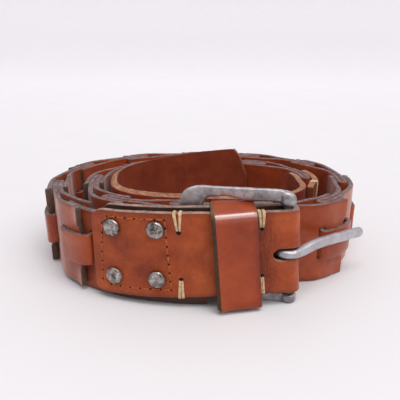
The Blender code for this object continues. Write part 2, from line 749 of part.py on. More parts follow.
def make_prong():
    """A rod bent into an eye round the bar, its shaft leaving the eye at the side away from the coil."""
    eye = BAR_RADIUS + BAR_CLEARANCE
    half = PRONG_THICKNESS / 2
    aside = -(eye + 1.1 * half)
    shaft = bmesh.new()
    points, widths = [], []
    for row in PRONG_LINE:
        high = half + (PRONG_HEIGHT / 2 - half) * row["height"]
        points.append(Vector((PRONG_LENGTH * row["share"], aside, PRONG_DROOP * row["rise"])))
        widths.append((min(high, 0.95 * half), high))
    tube(shaft, points, widths, [(Vector((0, 1, 0)), Vector((0, 0, 1)))] * len(points))
    sunk = Vector((0, 0, lift(0) + (CHAPE_WIDTH - FRAME_HEIGHT) / 2))
    ring_mesh = screw_mesh([
        (eye + 1.6 * half, 0.7 * half),
        (eye + 2.0 * half, 0.0),
        (eye + 1.6 * half, -0.7 * half),
        (eye + 0.9 * half, -0.97 * half),
        (eye, -0.75 * half),
        (eye, 0.75 * half),
        (eye + 0.9 * half, 0.97 * half),
        (eye + 1.6 * half, 0.7 * half),
    ], 16, "prong_eye")
    ring = bmesh.new()
    ring.from_mesh(ring_mesh)
    bmesh.ops.remove_doubles(ring, verts=ring.verts, dist=0.00001)
    bpy.data.meshes.remove(ring_mesh)
    for build in (ring, shaft):
        bmesh.ops.translate(build, verts=build.verts, vec=sunk)
    return joined("prong", [ring, shaft], PRONG_GREY, bar_matrix(math.pi + PRONG_TURN))


def centre_belt():
    """Move everything so that the belt's box stands over the origin."""
    depsgraph = bpy.context.evaluated_depsgraph_get()
    corners = [thing.matrix_world @ Vector(corner)
               for thing in belt.objects for corner in thing.evaluated_get(depsgraph).bound_box]
    shift = Vector([-(min(c[i] for c in corners) + max(c[i] for c in corners)) / 2 for i in (0, 1)] + [0])
    for collection in (belt, cutters):
        for thing in collection.objects:
            thing.matrix_world = Matrix.Translation(shift) @ thing.matrix_world
    return shift


chape = make_chape()
base_strap = make_base_strap()
make_rivets((chape, base_strap))
for link_number in range(LINK_COUNT):
    make_link(link_number)
make_tail_strap()
make_keeper()
make_buckle_frame()
make_prong()
SHIFT = centre_belt()
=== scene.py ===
# The looks of a belt of folded leather links, coiled and stood on its edge. Metres, +Z up, its front faces -Y

import math

import bmesh
import bpy
import numpy as np
from mathutils import Matrix, Vector, noise
from mathutils.bvhtree import BVHTree


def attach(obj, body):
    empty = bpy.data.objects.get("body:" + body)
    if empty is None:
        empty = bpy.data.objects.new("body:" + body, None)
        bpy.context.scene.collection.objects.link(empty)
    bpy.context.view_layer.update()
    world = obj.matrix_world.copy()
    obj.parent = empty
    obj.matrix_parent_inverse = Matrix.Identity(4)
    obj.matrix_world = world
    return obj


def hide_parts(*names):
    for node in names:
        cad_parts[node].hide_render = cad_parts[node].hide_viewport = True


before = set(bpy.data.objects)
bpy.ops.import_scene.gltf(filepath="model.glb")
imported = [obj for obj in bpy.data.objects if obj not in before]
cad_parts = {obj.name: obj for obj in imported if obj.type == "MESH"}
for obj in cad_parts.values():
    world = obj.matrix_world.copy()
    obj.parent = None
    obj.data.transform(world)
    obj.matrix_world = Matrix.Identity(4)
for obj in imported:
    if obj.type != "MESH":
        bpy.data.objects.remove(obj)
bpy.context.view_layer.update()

MM = 0.001

# Sizes of the coil, the same as the solids'
COIL_WIDTH = 151.5 * MM
COIL_DEPTH = 111.0 * MM
COIL_SQUARENESS = 2.3
BELT_LENGTH = 905.0 * MM
BAR_TURN = -0.103
SHIFT = Vector((-0.721 * MM, 1.56 * MM, 0))

# Sizes of the leather
STRAP_WIDTH = 40.0 * MM
CHAPE_WIDTH = 41.0 * MM
CHAPE_LEATHER = 3.0 * MM
BASE_LEATHER = 3.4 * MM
LINK_LEATHER = 2.3 * MM
TAIL_LEATHER = 3.4 * MM
KEEPER_LEATHER = 1.5 * MM
LAYER_GAP = 0.38 * MM

# Sizes of the strap's end at the buckle
CHAPE_LENGTH = 86.5 * MM
BASE_START = 35.6 * MM
STRAP_LIFT = 5.3 * MM
BASE_LIFT = 0.7 * MM
PRONG_SLOT_HEIGHT = 6.0 * MM
PRONG_SLOT_REACH = 7.6 * MM
CHAPE_CORNER = 5.0 * MM

# Sizes of the links
FIRST_LINK = 94.0 * MM
LINK_PITCH = 35.5 * MM
LINK_OVERLAP = 14.0 * MM
LINK_COUNT = 16
LINK_RELIEF = 1.0 * MM
TONGUE_WIDTH = 15.0 * MM
TONGUE_REACH = 5.0 * MM
TONGUE_COVER = 14.5 * MM
TONGUE_CLEARANCE = 0.6 * MM

# Sizes of the free end
TAIL_FLAP = 28.0 * MM
TAIL_TIP = 16.0 * MM
TAIL_SETTLE = 30.0 * MM
TAIL_LOOP = 20.0 * MM

# Sizes of the keeper
KEEPER_START = 13.3 * MM
KEEPER_WIDTH = 19.4 * MM
KEEPER_LOOSENESS = 4.3 * MM
KEEPER_NEAR_SHARE = 0.3
KEEPER_BACK_GAP = 0.53 * MM
KEEPER_SAG = 1.9 * MM
KEEPER_CORNER = 0.8 * MM
KEEPER_FULL_CORNER = 3.2 * MM
KEEPER_LEAN = 2.2 * MM
KEEPER_FOOT = 1.1 * MM
KEEPER_SKIVE = 1.6 * MM

# Sizes of the rivets
RIVET_HEAD = 8.0 * MM
RIVET_HEAD_HEIGHT = 1.5 * MM
RIVET_SHANK = 3.0 * MM
RIVET_BURR = 6.0 * MM
RIVET_BURR_HEIGHT = 0.9 * MM
RIVET_FROM_END = (29.5 * MM, 10.3 * MM)
RIVET_HEIGHTS = (13.0 * MM, -10.6 * MM)

# Sizes of the buckle
FRAME_HEIGHT = 54.8 * MM
FRAME_REACH = 50.3 * MM
FRAME_CORNER = 14.0 * MM
FRAME_FAR_RAIL = 8.0 * MM
FRAME_DEPTH = 4.6 * MM
FRAME_TURN = math.radians(-20.5)
KNUCKLE = 7.4 * MM
KNUCKLE_DROP = 0.5 * MM
BAR_CLEARANCE = 0.3 * MM
PRONG_LENGTH = 49.0 * MM
PRONG_THICKNESS = 4.2 * MM
PRONG_HEIGHT = 5.2 * MM
PRONG_TURN = math.radians(28.0)
PRONG_DROOP = 3.0 * MM

# What follows from the sizes above
CHAPE_INNER = BASE_LEATHER / 2 + LAYER_GAP
CHAPE_OUTER = CHAPE_INNER + CHAPE_LEATHER
BAR_RADIUS = CHAPE_INNER - BAR_CLEARANCE
LINK_PACK = 4 * LINK_LEATHER + 3 * LAYER_GAP
COIL_SPACING = LINK_PACK + LINK_LEATHER + 2 * LAYER_GAP
TAIL_START = FIRST_LINK + LINK_COUNT * LINK_PITCH

# The spiral, clockwise from the front seen from above: turn, inset in chain thicknesses, lift in strap lifts
SPIRAL = np.array((
    (-0.16, -0.45, 1.00), (-0.11, -0.22, 1.00), (-0.05, 0.00, 1.00), (0.01, 0.02, 0.97),
    (0.07, 0.12, 0.80), (0.14, 0.24, 0.50), (0.20, 0.26, 0.22), (0.26, 0.06, 0.08),
    (0.34, 0.00, 0.00), (0.50, 0.00, 0.00), (0.62, 0.02, 0.00), (0.75, 0.00, 0.00),
    (0.81, 0.42, 0.00), (0.87, 1.04, 0.00), (0.93, 1.42, 0.00), (1.00, 1.69, 0.00),
    (1.08, 1.73, 0.00), (1.18, 1.56, 0.00), (1.27, 1.44, 0.00), (1.38, 1.25, 0.00),
    (1.50, 1.07, 0.00), (1.62, 1.10, 0.00), (1.75, 1.38, 0.00), (1.84, 1.82, 0.00),
    (1.92, 2.24, 0.02), (2.02, 2.45, 0.06), (2.14, 2.33, 0.18), (2.25, 2.10, 0.42),
    (2.38, 1.82, 0.88), (2.50, 1.67, 1.65), (2.60, 1.69, 2.20), (2.80, 1.88, 2.45),
))

# The free end's outline: reach along the tip, and trim from either edge, in strap widths
TIP_OUTLINE = (
    (0.38, 0.000), (0.50, 0.012), (0.59, 0.055), (0.69, 0.110), (0.78, 0.190), (0.86, 0.285), (0.98, 0.400),
)

# The buckle frame's rails at shares of its reach: upper and lower width, in widths of the far rail
RAIL_WIDTHS = (
    (0.02, 0.72, 0.60), (0.18, 0.74, 0.56), (0.27, 0.76, 0.38), (0.45, 0.78, 0.38), (0.70, 0.94, 0.44),
)

# The prong's shaft, at shares of its length: its rise in droops, and its height from rod to beaten
PRONG_LINE = (
    (-0.02, 0.00, 0.0), (0.10, -0.05, 0.5), (0.22, 0.06, 0.9), (0.38, 0.06, 1.0), (0.55, -0.25, 1.0),
    (0.75, -0.62, 1.0), (0.90, -0.90, 0.95), (0.96, -1.00, 0.8), (0.99, -1.03, 0.2), (1.00, -1.05, -1.0),
)


# The belt's line

def curve(knots, rows, at):
    """Rows of numbers at places among their knots, with the corners at the knots rounded off."""
    slopes = np.gradient(rows, knots, axis=0)
    right = np.clip(np.searchsorted(knots, at), 1, len(knots) - 1)
    left = right - 1
    gap = (knots[right] - knots[left])[:, None]
    t = (at - knots[left])[:, None] / gap
    rise = t * t * (3 - 2 * t)
    return ((1 - rise) * rows[left] + rise * rows[right]
            + gap * (t * (1 - t) ** 2 * slopes[left] - t * t * (1 - t) * slopes[right]))


def directions(x, y):
    """The unit directions of a row of points."""
    dx, dy = np.gradient(x), np.gradient(y)
    step = np.hypot(dx, dy)
    return dx / step, dy / step


# The outer oval, clockwise from the front, and the belt's line inside it
TURNS = np.linspace(SPIRAL[0, 0], SPIRAL[-1, 0], 4001)
OFF_OVAL = curve(SPIRAL[:, 0], SPIRAL[:, 1:], TURNS)
INSET, LIFT = OFF_OVAL[:, 0] * COIL_SPACING, np.maximum(0, OFF_OVAL[:, 1]) * STRAP_LIFT
EAST, NORTH = -np.sin(2 * np.pi * TURNS), -np.cos(2 * np.pi * TURNS)
REACH = np.abs(2 * EAST / COIL_WIDTH) ** COIL_SQUARENESS + np.abs(2 * NORTH / COIL_DEPTH) ** COIL_SQUARENESS
REACH = REACH ** (-1 / COIL_SQUARENESS)
OVAL_DX, OVAL_DY = directions(REACH * EAST, REACH * NORTH)
PATH_X, PATH_Y = REACH * EAST + INSET * OVAL_DY, REACH * NORTH - INSET * OVAL_DX
PATH_DX, PATH_DY = directions(PATH_X, PATH_Y)
PATH_LENGTH = np.concatenate(([0.0], np.cumsum(np.hypot(np.diff(PATH_X), np.diff(PATH_Y)))))
PATH_LENGTH -= np.interp(BAR_TURN, TURNS, PATH_LENGTH)


def heading(along):
    """The belt's direction at a length along it, and its outward normal. Before the bar it is straight."""
    dx, dy = (np.interp(max(along, 0), PATH_LENGTH, way) for way in (PATH_DX, PATH_DY))
    direction = Vector((dx, dy, 0)).normalized()
    return direction, Vector((-direction.y, direction.x, 0))


def place(along, out, height):
    """A point of the belt: its length along, how far outside the centre line, and its height."""
    x, y = (np.interp(max(along, 0), PATH_LENGTH, line) for line in (PATH_X, PATH_Y))
    direction, normal = heading(along)
    return Vector((x, y, height)) + direction * min(along, 0) + normal * out + SHIFT


def lift(along):
    return float(np.interp(along, PATH_LENGTH, LIFT))


# The rivets' places: length along the belt, and height
RIVETS = [(CHAPE_LENGTH - from_end, lift(CHAPE_LENGTH - from_end) + CHAPE_WIDTH / 2 + height)
          for from_end in RIVET_FROM_END for height in RIVET_HEIGHTS]


# Node materials

class Nodes:
    """A short way to lay out one material's nodes."""

    def __init__(self, name):
        self.material = bpy.data.materials.new(name)
        self.material.use_nodes = True
        self.tree = self.material.node_tree
        self.shader = self.tree.nodes["Principled BSDF"]
        self.object = self.new("ShaderNodeTexCoord").outputs["Object"]
        self.strip = self.new("ShaderNodeUVMap", uv_map="strip").outputs["UV"]

    def feed(self, node, values):
        """Give a node's inputs their values or links."""
        for key, value in values.items():
            socket = node.inputs[key]
            if isinstance(value, bpy.types.NodeSocket):
                self.tree.links.new(value, socket)
            elif isinstance(value, tuple) and len(value) == 3 and len(socket.default_value) == 4:
                socket.default_value = (*value, 1.0)
            else:
                socket.default_value = value

    def new(self, kind, values=None, **settings):
        node = self.tree.nodes.new(kind)
        for key, value in settings.items():
            setattr(node, key, value)
        self.feed(node, values or {})
        return node

    def noise(self, vector, scale, detail=4.0, rough=0.55, distortion=0.0):
        """Soft noise, stretched along the axes where the scale has three numbers."""
        if isinstance(scale, tuple):
            vector = self.new("ShaderNodeMapping", {"Vector": vector, "Scale": scale}).outputs["Vector"]
            scale = 1.0
        values = {"Vector": vector, "Scale": scale, "Detail": detail, "Roughness": rough,
                  "Distortion": distortion}
        return self.new("ShaderNodeTexNoise", values).outputs["Fac"]

    def cells(self, scale, feature):
        values = {"Vector": self.object, "Scale": scale}
        return self.new("ShaderNodeTexVoronoi", values, feature=feature).outputs["Distance"]

    def ramp(self, value, *stops):
        """Colours or greys at positions from 0 to 1."""
        node = self.new("ShaderNodeValToRGB", {"Fac": value})
        elements = node.color_ramp.elements
        while len(elements) < len(stops):
            elements.new(0.5)
        for element, (spot, colour) in zip(elements, stops):
            element.position = spot
            element.color = (*colour, 1.0) if isinstance(colour, tuple) else (colour, colour, colour, 1.0)
        return node.outputs["Color"]

    def mix(self, factor, first, second):
        return self.new("ShaderNodeMix", {0: factor, 6: first, 7: second}, data_type="RGBA").outputs[2]

    def maths(self, kind, first, second=0.0):
        return self.new("ShaderNodeMath", {0: first, 1: second}, operation=kind).outputs[0]

    def part(self, vector, axis):
        return self.new("ShaderNodeSeparateXYZ", {0: vector}).outputs[axis]

    def upward(self):
        """How far the surface faces up, from -1 to 1."""
        return self.part(self.new("ShaderNodeNewGeometry").outputs["Normal"], 2)

    def uneven(self, middle, scale, detail, rough):
        """A value that varies round its middle, by up to 0.15."""
        cloud = self.noise(self.object, scale, detail, rough)
        return self.maths("ADD", self.maths("MULTIPLY", cloud, 0.30), middle - 0.15)

    def bumps(self, *layers):
        """The normal under layers of bumps, each with its height, distance and strength."""
        normal = {}
        for height, distance, strength in layers:
            values = {"Height": height, "Distance": distance, "Strength": strength, **normal}
            normal = {"Normal": self.new("ShaderNodeBump", values).outputs["Normal"]}
        return normal

    def finish(self, colour, roughness, normal, metallic=0.0, coat=0.0, specular=0.5, sheen=0.0,
               polish=0.2, varnish=1.5):
        self.feed(self.shader, {
            "Base Color": colour, "Roughness": roughness, "Metallic": metallic, "Specular IOR Level": specular,
            "Coat Weight": coat, "Coat Roughness": polish, "Coat IOR": varnish,
            "Sheen Weight": sheen, "Sheen Roughness": 0.4, "Sheen Tint": (1.0, 0.84, 0.80), **normal,
        })
        return self.material


def times(factor, tone):
    return tuple(factor * v for v in tone)


def linear(*tones):
    """Linear values of colours given as they look on a screen, 0 to 255."""
    def value(v):
        return ((v / 255 + 0.055) / 1.055) ** 2.4 if v > 10 else v / 255 / 12.92

    return [tuple(value(v) for v in tone) for tone in tones]


# How softly a mark on the leather begins and ends, and the stretch of strip that marks can lie in
MARK_SOFTNESS = 4.0 * MM
MARK_REACH = 200.0 * MM


def leather(name, dark, middle, light, grain, crease, gloss, coat=0.0, sheen=0.12, marks=(),
            width=STRAP_WIDTH, polish=0.2, varnish=1.5):
    """Dyed grain leather: cloudy dye, pores, creases, scuffs, and darker burnished edges.

    marks holds (start, end, colour, wrinkles) for stretches along the strip that differ from the rest. They
    paint shade: a mark without wrinkles darkens its whole stretch, and a mark with wrinkles darkens the
    wrinkles' hollows."""
    n = Nodes(name)
    dark, middle, light = linear(dark, middle, light)
    clouds = n.noise(n.object, 55.0, 4.0, 0.6, 0.3)
    colour = n.ramp(clouds, (0.30, dark), (0.50, middle), (0.72, light))
    mottle = n.noise(n.object, 420.0, 3.0, 0.7)
    colour = n.mix(n.ramp(mottle, (0.35, 0.0), (0.75, 0.35)), colour, dark)
    scuffs = n.noise(n.strip, (150.0, 60.0, 1.0), 4.0, 0.6, 1.6)
    colour = n.mix(n.ramp(scuffs, (0.485, 0.0), (0.50, 0.22), (0.515, 0.0)), colour, light)
    along, high = n.part(n.strip, 0), n.part(n.strip, 1)
    near_edge = n.maths("SUBTRACT", width / 2, n.maths("ABSOLUTE", n.maths("SUBTRACT", high, width / 2)))
    edge_wave = n.maths("ADD", near_edge, n.maths("MULTIPLY", n.noise(n.object, 300.0, 2.0), 1.2 * MM))
    burnish = n.ramp(n.maths("DIVIDE", edge_wave, 3.2 * MM), (0.10, 0.55), (0.95, 0.0))
    colour = n.mix(burnish, colour, times(0.45, dark))
    lines = n.noise(n.strip, (900.0, 90.0, 1.0), 4.0, 0.6, 0.6)
    pebble = n.ramp(n.cells(950.0, "DISTANCE_TO_EDGE"), (0.0, 0.0), (0.22, 1.0))
    layers = [(n.noise(n.object, 160.0, 3.0, 0.5), 0.6 * MM, 0.25), (pebble, 0.12 * MM, grain),
              (n.cells(1500.0, "F1"), 0.08 * MM, 0.35 * grain), (lines, 0.30 * MM, crease)]
    for start, end, tone, wrinkles in marks:
        ends = (start - MARK_SOFTNESS, start + 0.2 * MM, end, end + MARK_SOFTNESS)
        stops = [(max(0.0, at / MARK_REACH), share) for at, share in zip(ends, (0.0, 1.0, 1.0, 0.0))]
        mask = n.ramp(n.maths("DIVIDE", along, MARK_REACH), *stops)
        wrinkled = n.ramp(n.noise(n.strip, (900.0, 420.0, 1.0), 5.0, 0.7, 0.6), (0.38, 1.0), (0.56, 0.0))
        depth = n.maths("MULTIPLY", mask, wrinkled)
        # Painted shade: over the whole stretch where there are no wrinkles, and only in the hollows of the
        # wrinkles where there are
        share = n.maths("MULTIPLY", depth, 0.6) if wrinkles else n.maths("MULTIPLY", mask, 0.92)
        colour = n.mix(share, colour, linear(tone)[0])
        if wrinkles:
            layers.append((depth, -0.5 * MM, wrinkles))
    if coat:
        coat = n.ramp(n.upward(), (0.08, 0.05 * coat), (0.36, coat), (0.78, coat), (0.93, 0.1 * coat))
    rough = n.uneven(gloss, 130.0, 5.0, 0.65)
    return n.finish(colour, rough, n.bumps(*layers), 0.0, coat, 0.30, sheen, polish, varnish)


def cut_edge(name, side, dark, middle, light, fibre=0.6):
    """The sawn-off side of thick leather: fibres in layers, dyed unevenly, in the flank's tone where it faces
    sideways or down and in lighter tones where it faces up, which is painted light.
    """
    n = Nodes(name)
    side, dark, middle, light = linear(side, dark, middle, light)
    layers = n.noise(n.object, (260.0, 260.0, 900.0), 5.0, 0.7, 0.4)
    colour = n.ramp(layers, (0.30, dark), (0.50, middle), (0.70, light))
    specks = n.noise(n.object, 1600.0, 2.0, 0.6)
    colour = n.mix(n.ramp(specks, (0.42, 0.0), (0.72, 0.6)), colour, light)
    flank = n.mix(n.ramp(layers, (0.40, 0.0), (0.75, 1.0)), side, times(1.6, side))
    # Painted light: faces pointing up take the lighter fibre tones, and faces pointing sideways or down keep
    # the flank's tone
    colour = n.mix(n.ramp(n.upward(), (0.30, 0.0), (0.75, 1.0)), flank, colour)
    normal = n.bumps((layers, 0.5 * MM, fibre), (specks, 0.3 * MM, fibre))
    return n.finish(colour, 0.82, normal, specular=0.2)


def metal(name, dark, middle, light, roughness, pits, dents, patches=150.0, painted_top_shine=0.0):
    """Aged cast metal: cloudy patina, dark pits, fine scratches, and a painted highlight on its upward faces.
    """
    n = Nodes(name)
    dark, middle, light, shine = linear(dark, middle, light, (240, 238, 240))
    clouds = n.noise(n.object, patches, 5.0, 0.6, 0.5)
    colour = n.ramp(clouds, (0.32, dark), (0.50, middle), (0.68, light))
    spots = n.noise(n.object, 650.0, 4.0, 0.7)
    colour = n.mix(n.ramp(spots, (0.58, 0.0), (0.70, pits)), colour, times(0.35, dark))
    # Painted highlight: faces that point up are blended towards a near-white shine
    if painted_top_shine:
        colour = n.mix(n.ramp(n.upward(), (0.25, 0.0), (0.75, painted_top_shine)), colour, shine)
    scratches = n.noise(n.object, (300.0, 300.0, 2600.0), 3.0, 0.7, 0.8)
    beaten = n.noise(n.object, 230.0, 3.0, 0.5)
    normal = n.bumps((beaten, 0.8 * MM, dents), (spots, 0.2 * MM, pits), (scratches, 0.06 * MM, 0.3))
    return n.finish(colour, n.uneven(roughness, 260.0, 4.0, 0.6), normal, metallic=1.0)


def thread(name, dark, light):
    """Waxed linen thread with its strands twisted round each other."""
    n = Nodes(name)
    dark, light = linear(dark, light)
    twist = {"Vector": n.strip, "Scale": 900.0, "Distortion": 2.0}
    wave = n.new("ShaderNodeTexWave", twist, bands_direction="DIAGONAL")
    colour = n.ramp(n.noise(n.object, 700.0, 3.0, 0.6), (0.30, dark), (0.70, light))
    return n.finish(colour, 0.75, n.bumps((wave.outputs["Fac"], 0.2 * MM, 0.4)), specular=0.3)


def plain(name, near, far, roughness):
    """A quiet, slightly uneven surface that changes tone towards the back, for the stage, where the darker
    near tone is painted shade, and for the painted shade in thread holes.
    """
    n = Nodes(name)
    near, far = linear(near, far)
    # On the stage this paints shade: darker at the front and round the belt, lighter towards the back
    colour = n.mix(n.ramp(n.part(n.object, 1), (0.05, 0.0), (0.70, 1.0)), near, far)
    colour = n.mix(n.ramp(n.noise(n.object, 30.0, 3.0), (0.3, 0.0), (0.7, 0.1)), colour, times(0.9, near))
    return n.finish(colour, roughness, {}, specular=0.3)


# Painted shade: under the chape the first strap is painted nearly black. At the bend round the bar the chape
# is wrinkled
SHADE_UNDER_CHAPE = (0.0, CHAPE_LENGTH - BASE_START - 2 * MM, (54, 38, 28), 0)
# At the bend the hollows of the wrinkles are painted darker: painted shade in the creases
AT_BEND = (CHAPE_LENGTH - 15 * MM, CHAPE_LENGTH - 9 * MM, (112, 42, 16), 0.6)

# The looks: dark, middle and light tones for leathers and metals, after the flank's tone for cut edges, whose
# lighter tones on upward faces are painted light
STRAP_FACE = leather("strap_face", (120, 42, 14), (158, 66, 21), (184, 88, 38), 0.8, 0.30, 0.44,
                     marks=(AT_BEND,), width=CHAPE_WIDTH)
LINING = leather("lining", (60, 34, 24), (84, 50, 36), (102, 64, 48), 0.3, 0.12, 0.6)
BASE_FACE = leather("base_face", (120, 48, 26), (148, 66, 36), (166, 84, 50), 0.3, 0.12, 0.44,
                    marks=(SHADE_UNDER_CHAPE,))
LINK_FACE = leather("link_face", (122, 44, 18), (154, 64, 28), (172, 82, 42), 0.25, 0.12, 0.32, sheen=0.4)
TAIL_FACE = leather("tail_face", (104, 38, 18), (128, 52, 26), (146, 66, 36), 0.3, 0.2, 0.5, sheen=0.05)
TAIL_GRAIN = leather("tail_grain", (108, 30, 12), (140, 46, 20), (166, 68, 32), 0.8, 0.8, 0.36)
KEEPER_FACE = leather("keeper_face", (124, 42, 14), (150, 58, 20), (166, 72, 30), 0.10, 0.05, 0.40, 1.0,
                      sheen=0.0, polish=0.22, varnish=1.9)
LINK_EDGE = cut_edge("link_edge", (82, 68, 58), (60, 50, 49), (102, 90, 90), (140, 126, 126))
STRAP_EDGE = cut_edge("strap_edge", (70, 42, 30), (92, 68, 60), (134, 108, 100), (174, 150, 138))
TAIL_EDGE = cut_edge("tail_edge", (104, 58, 36), (100, 62, 44), (140, 94, 70), (182, 138, 112), 1.0)
KEEPER_EDGE = cut_edge("keeper_edge", (70, 52, 40), (70, 48, 36), (112, 84, 64), (150, 118, 92))
PEWTER = metal("frame_metal", (122, 116, 118), (176, 170, 172), (212, 208, 210), 0.50, 0.5, 0.2,
               patches=130.0, painted_top_shine=0.12)
RIVET_METAL = metal("rivet_metal", (58, 54, 52), (150, 142, 138), (214, 206, 200), 0.36, 0.9, 0.8, 420.0)
PRONG_METAL = metal("prong_metal", (172, 168, 172), (192, 188, 192), (206, 202, 206), 0.50, 0.25, 0.12)
CREAM_THREAD = thread("cream_thread", (178, 142, 104), (224, 196, 156))
SEAM_THREAD = thread("seam_thread", (144, 66, 26), (196, 110, 58))
# Thread holes are near-black spots: painted shade in place of the holes' depth
HOLE_SHADE = plain("painted_hole_shade", (20, 10, 7), (20, 10, 7), 0.9)


# Meshes

def fade(value, start, end):
    """0 at the start and before it, 1 at the end and beyond it, and even between."""
    return min(1.0, max(0.0, (value - start) / (end - start)))


def eased(share):
    return share * share * (3 - 2 * share)


def angles(count):
    return [2 * math.pi * i / count for i in range(count)]


def ripple(mesh, size, depth, seed, only=None):
    """Push the points of a mesh along their normals by a smooth noise, so that nothing is quite straight."""
    offset = Vector((seed * 7.31, seed * 3.17, seed * 1.93))
    count = len(mesh.vertices)
    spots, normals = np.empty(3 * count, np.float32), np.empty(3 * count, np.float32)
    mesh.vertices.foreach_get("co", spots)
    mesh.vertex_normals.foreach_get("vector", normals)
    spots, normals = spots.reshape(count, 3), normals.reshape(count, 3)
    push = np.zeros((count, 1), np.float32)
    for i in range(count) if only is None else sorted(only):
        push[i] = depth * noise.noise(Vector(spots[i]) / size + offset)
    mesh.vertices.foreach_set("co", (spots + normals * push).ravel())
    mesh.update()


def add_object(name, data):
    thing = bpy.data.objects.new(name, data)
    bpy.context.scene.collection.objects.link(thing)
    return thing


def make_object(name, build, *looks):
    """An object of closed bodies, with their faces turned outwards."""
    bmesh.ops.recalc_face_normals(build, faces=build.faces[:])
    mesh = bpy.data.meshes.new(name)
    build.to_mesh(mesh)
    build.free()
    for look in looks:
        mesh.materials.append(look)
    return add_object(name, mesh)


def shade(mesh, angle):
    """Smooth shading, broken at edges sharper than an angle in degrees."""
    mesh.shade_smooth()
    mesh.set_sharp_from_angle(angle=math.radians(angle))


def bake_modifiers(thing):
    """Apply the modifiers of an object."""
    graph = bpy.context.evaluated_depsgraph_get()
    mesh = bpy.data.meshes.new_from_object(thing.evaluated_get(graph))
    thing.modifiers.clear()
    old = thing.data
    thing.data = mesh
    bpy.data.meshes.remove(old)
    mesh.name = thing.name
    return mesh


def soften(thing, width):
    """Round the edges of an object."""
    bevel = thing.modifiers.new("soften", "BEVEL")
    bevel.width = width
    bevel.segments = 3
    bevel.limit_method = "ANGLE"
    bevel.angle_limit = math.radians(50)
    bevel.use_clamp_overlap = False
    return bake_modifiers(thing)


def strip_faces(build):
    """A dict for each point's place on its strip, and a function that makes a face with those places."""
    layer = build.loops.layers.uv.new("strip")
    spots = {}

    def face_of(corners, slot_number=0):
        made = build.faces.new(corners)
        made.material_index = slot_number
        for loop in made.loops:
            loop[layer].uv = spots[loop.vert]

    return spots, face_of


def band(face_of, first, second):
    """Faces between two rings of points, of which one may be a single point."""
    sides = max(len(first), len(second))
    first, second = (ring if len(ring) > 1 else ring * sides for ring in (first, second))
    for i in range(sides):
        j = (i + 1) % sides
        face_of(list(dict.fromkeys((first[i], first[j], second[j], second[i]))))


def skin(build, rings, face_of=None):
    """Faces between the rings of a body, and over both ends."""
    for first, second in zip(rings, rings[1:]):
        band(face_of or build.faces.new, first, second)
    for ring in (rings[0], rings[-1]):
        if len(ring) > 1:
            build.faces.new(ring)


def offset_sides(line, thickness):
    """Both sides of a strip whose middle runs along a line of (along, out) points."""
    points = [Vector(p) for p in line]
    sides = []
    for i, point in enumerate(points):
        before = (point - points[i - 1]).normalized() if i else None
        after = (points[i + 1] - point).normalized() if i + 1 < len(points) else None
        before = before or after
        after = after or before
        mitre = Vector((-(before.y + after.y), before.x + after.x)).normalized()
        stretch = 1 / max(0.5, mitre.dot(Vector((-before.y, before.x))))
        side = mitre * (thickness / 2 * stretch)
        sides.append((point + side, point - side))
    return sides


def rounded(points, radii, steps=5):
    """A line with its corners turned into bends. radii has one value for each inner corner."""
    points = [Vector(p) for p in points]
    line = [points[0]]
    for before, corner, after, radius in zip(points, points[1:], points[2:], radii):
        start = corner + (before - corner).normalized() * min(radius, (before - corner).length * 0.49)
        end = corner + (after - corner).normalized() * min(radius, (after - corner).length * 0.49)
        for i in range(steps + 1):
            t = i / steps
            line.append(start * (1 - t) ** 2 + corner * 2 * t * (1 - t) + end * t * t)
    line.append(points[-1])
    return [(p.x, p.y) for p in line]


def stations(start, end, step=3 * MM):
    count = max(1, round(abs(end - start) / step))
    return [start + (end - start) * i / count for i in range(count + 1)]


ALL = (True, True, True)
EARS = (True, False, True)
MIDDLE = (False, True, False)
FINE = 1.6 * MM
BEVEL = 0.5 * MM
LINK_SLOT = LINK_LEATHER + TONGUE_CLEARANCE


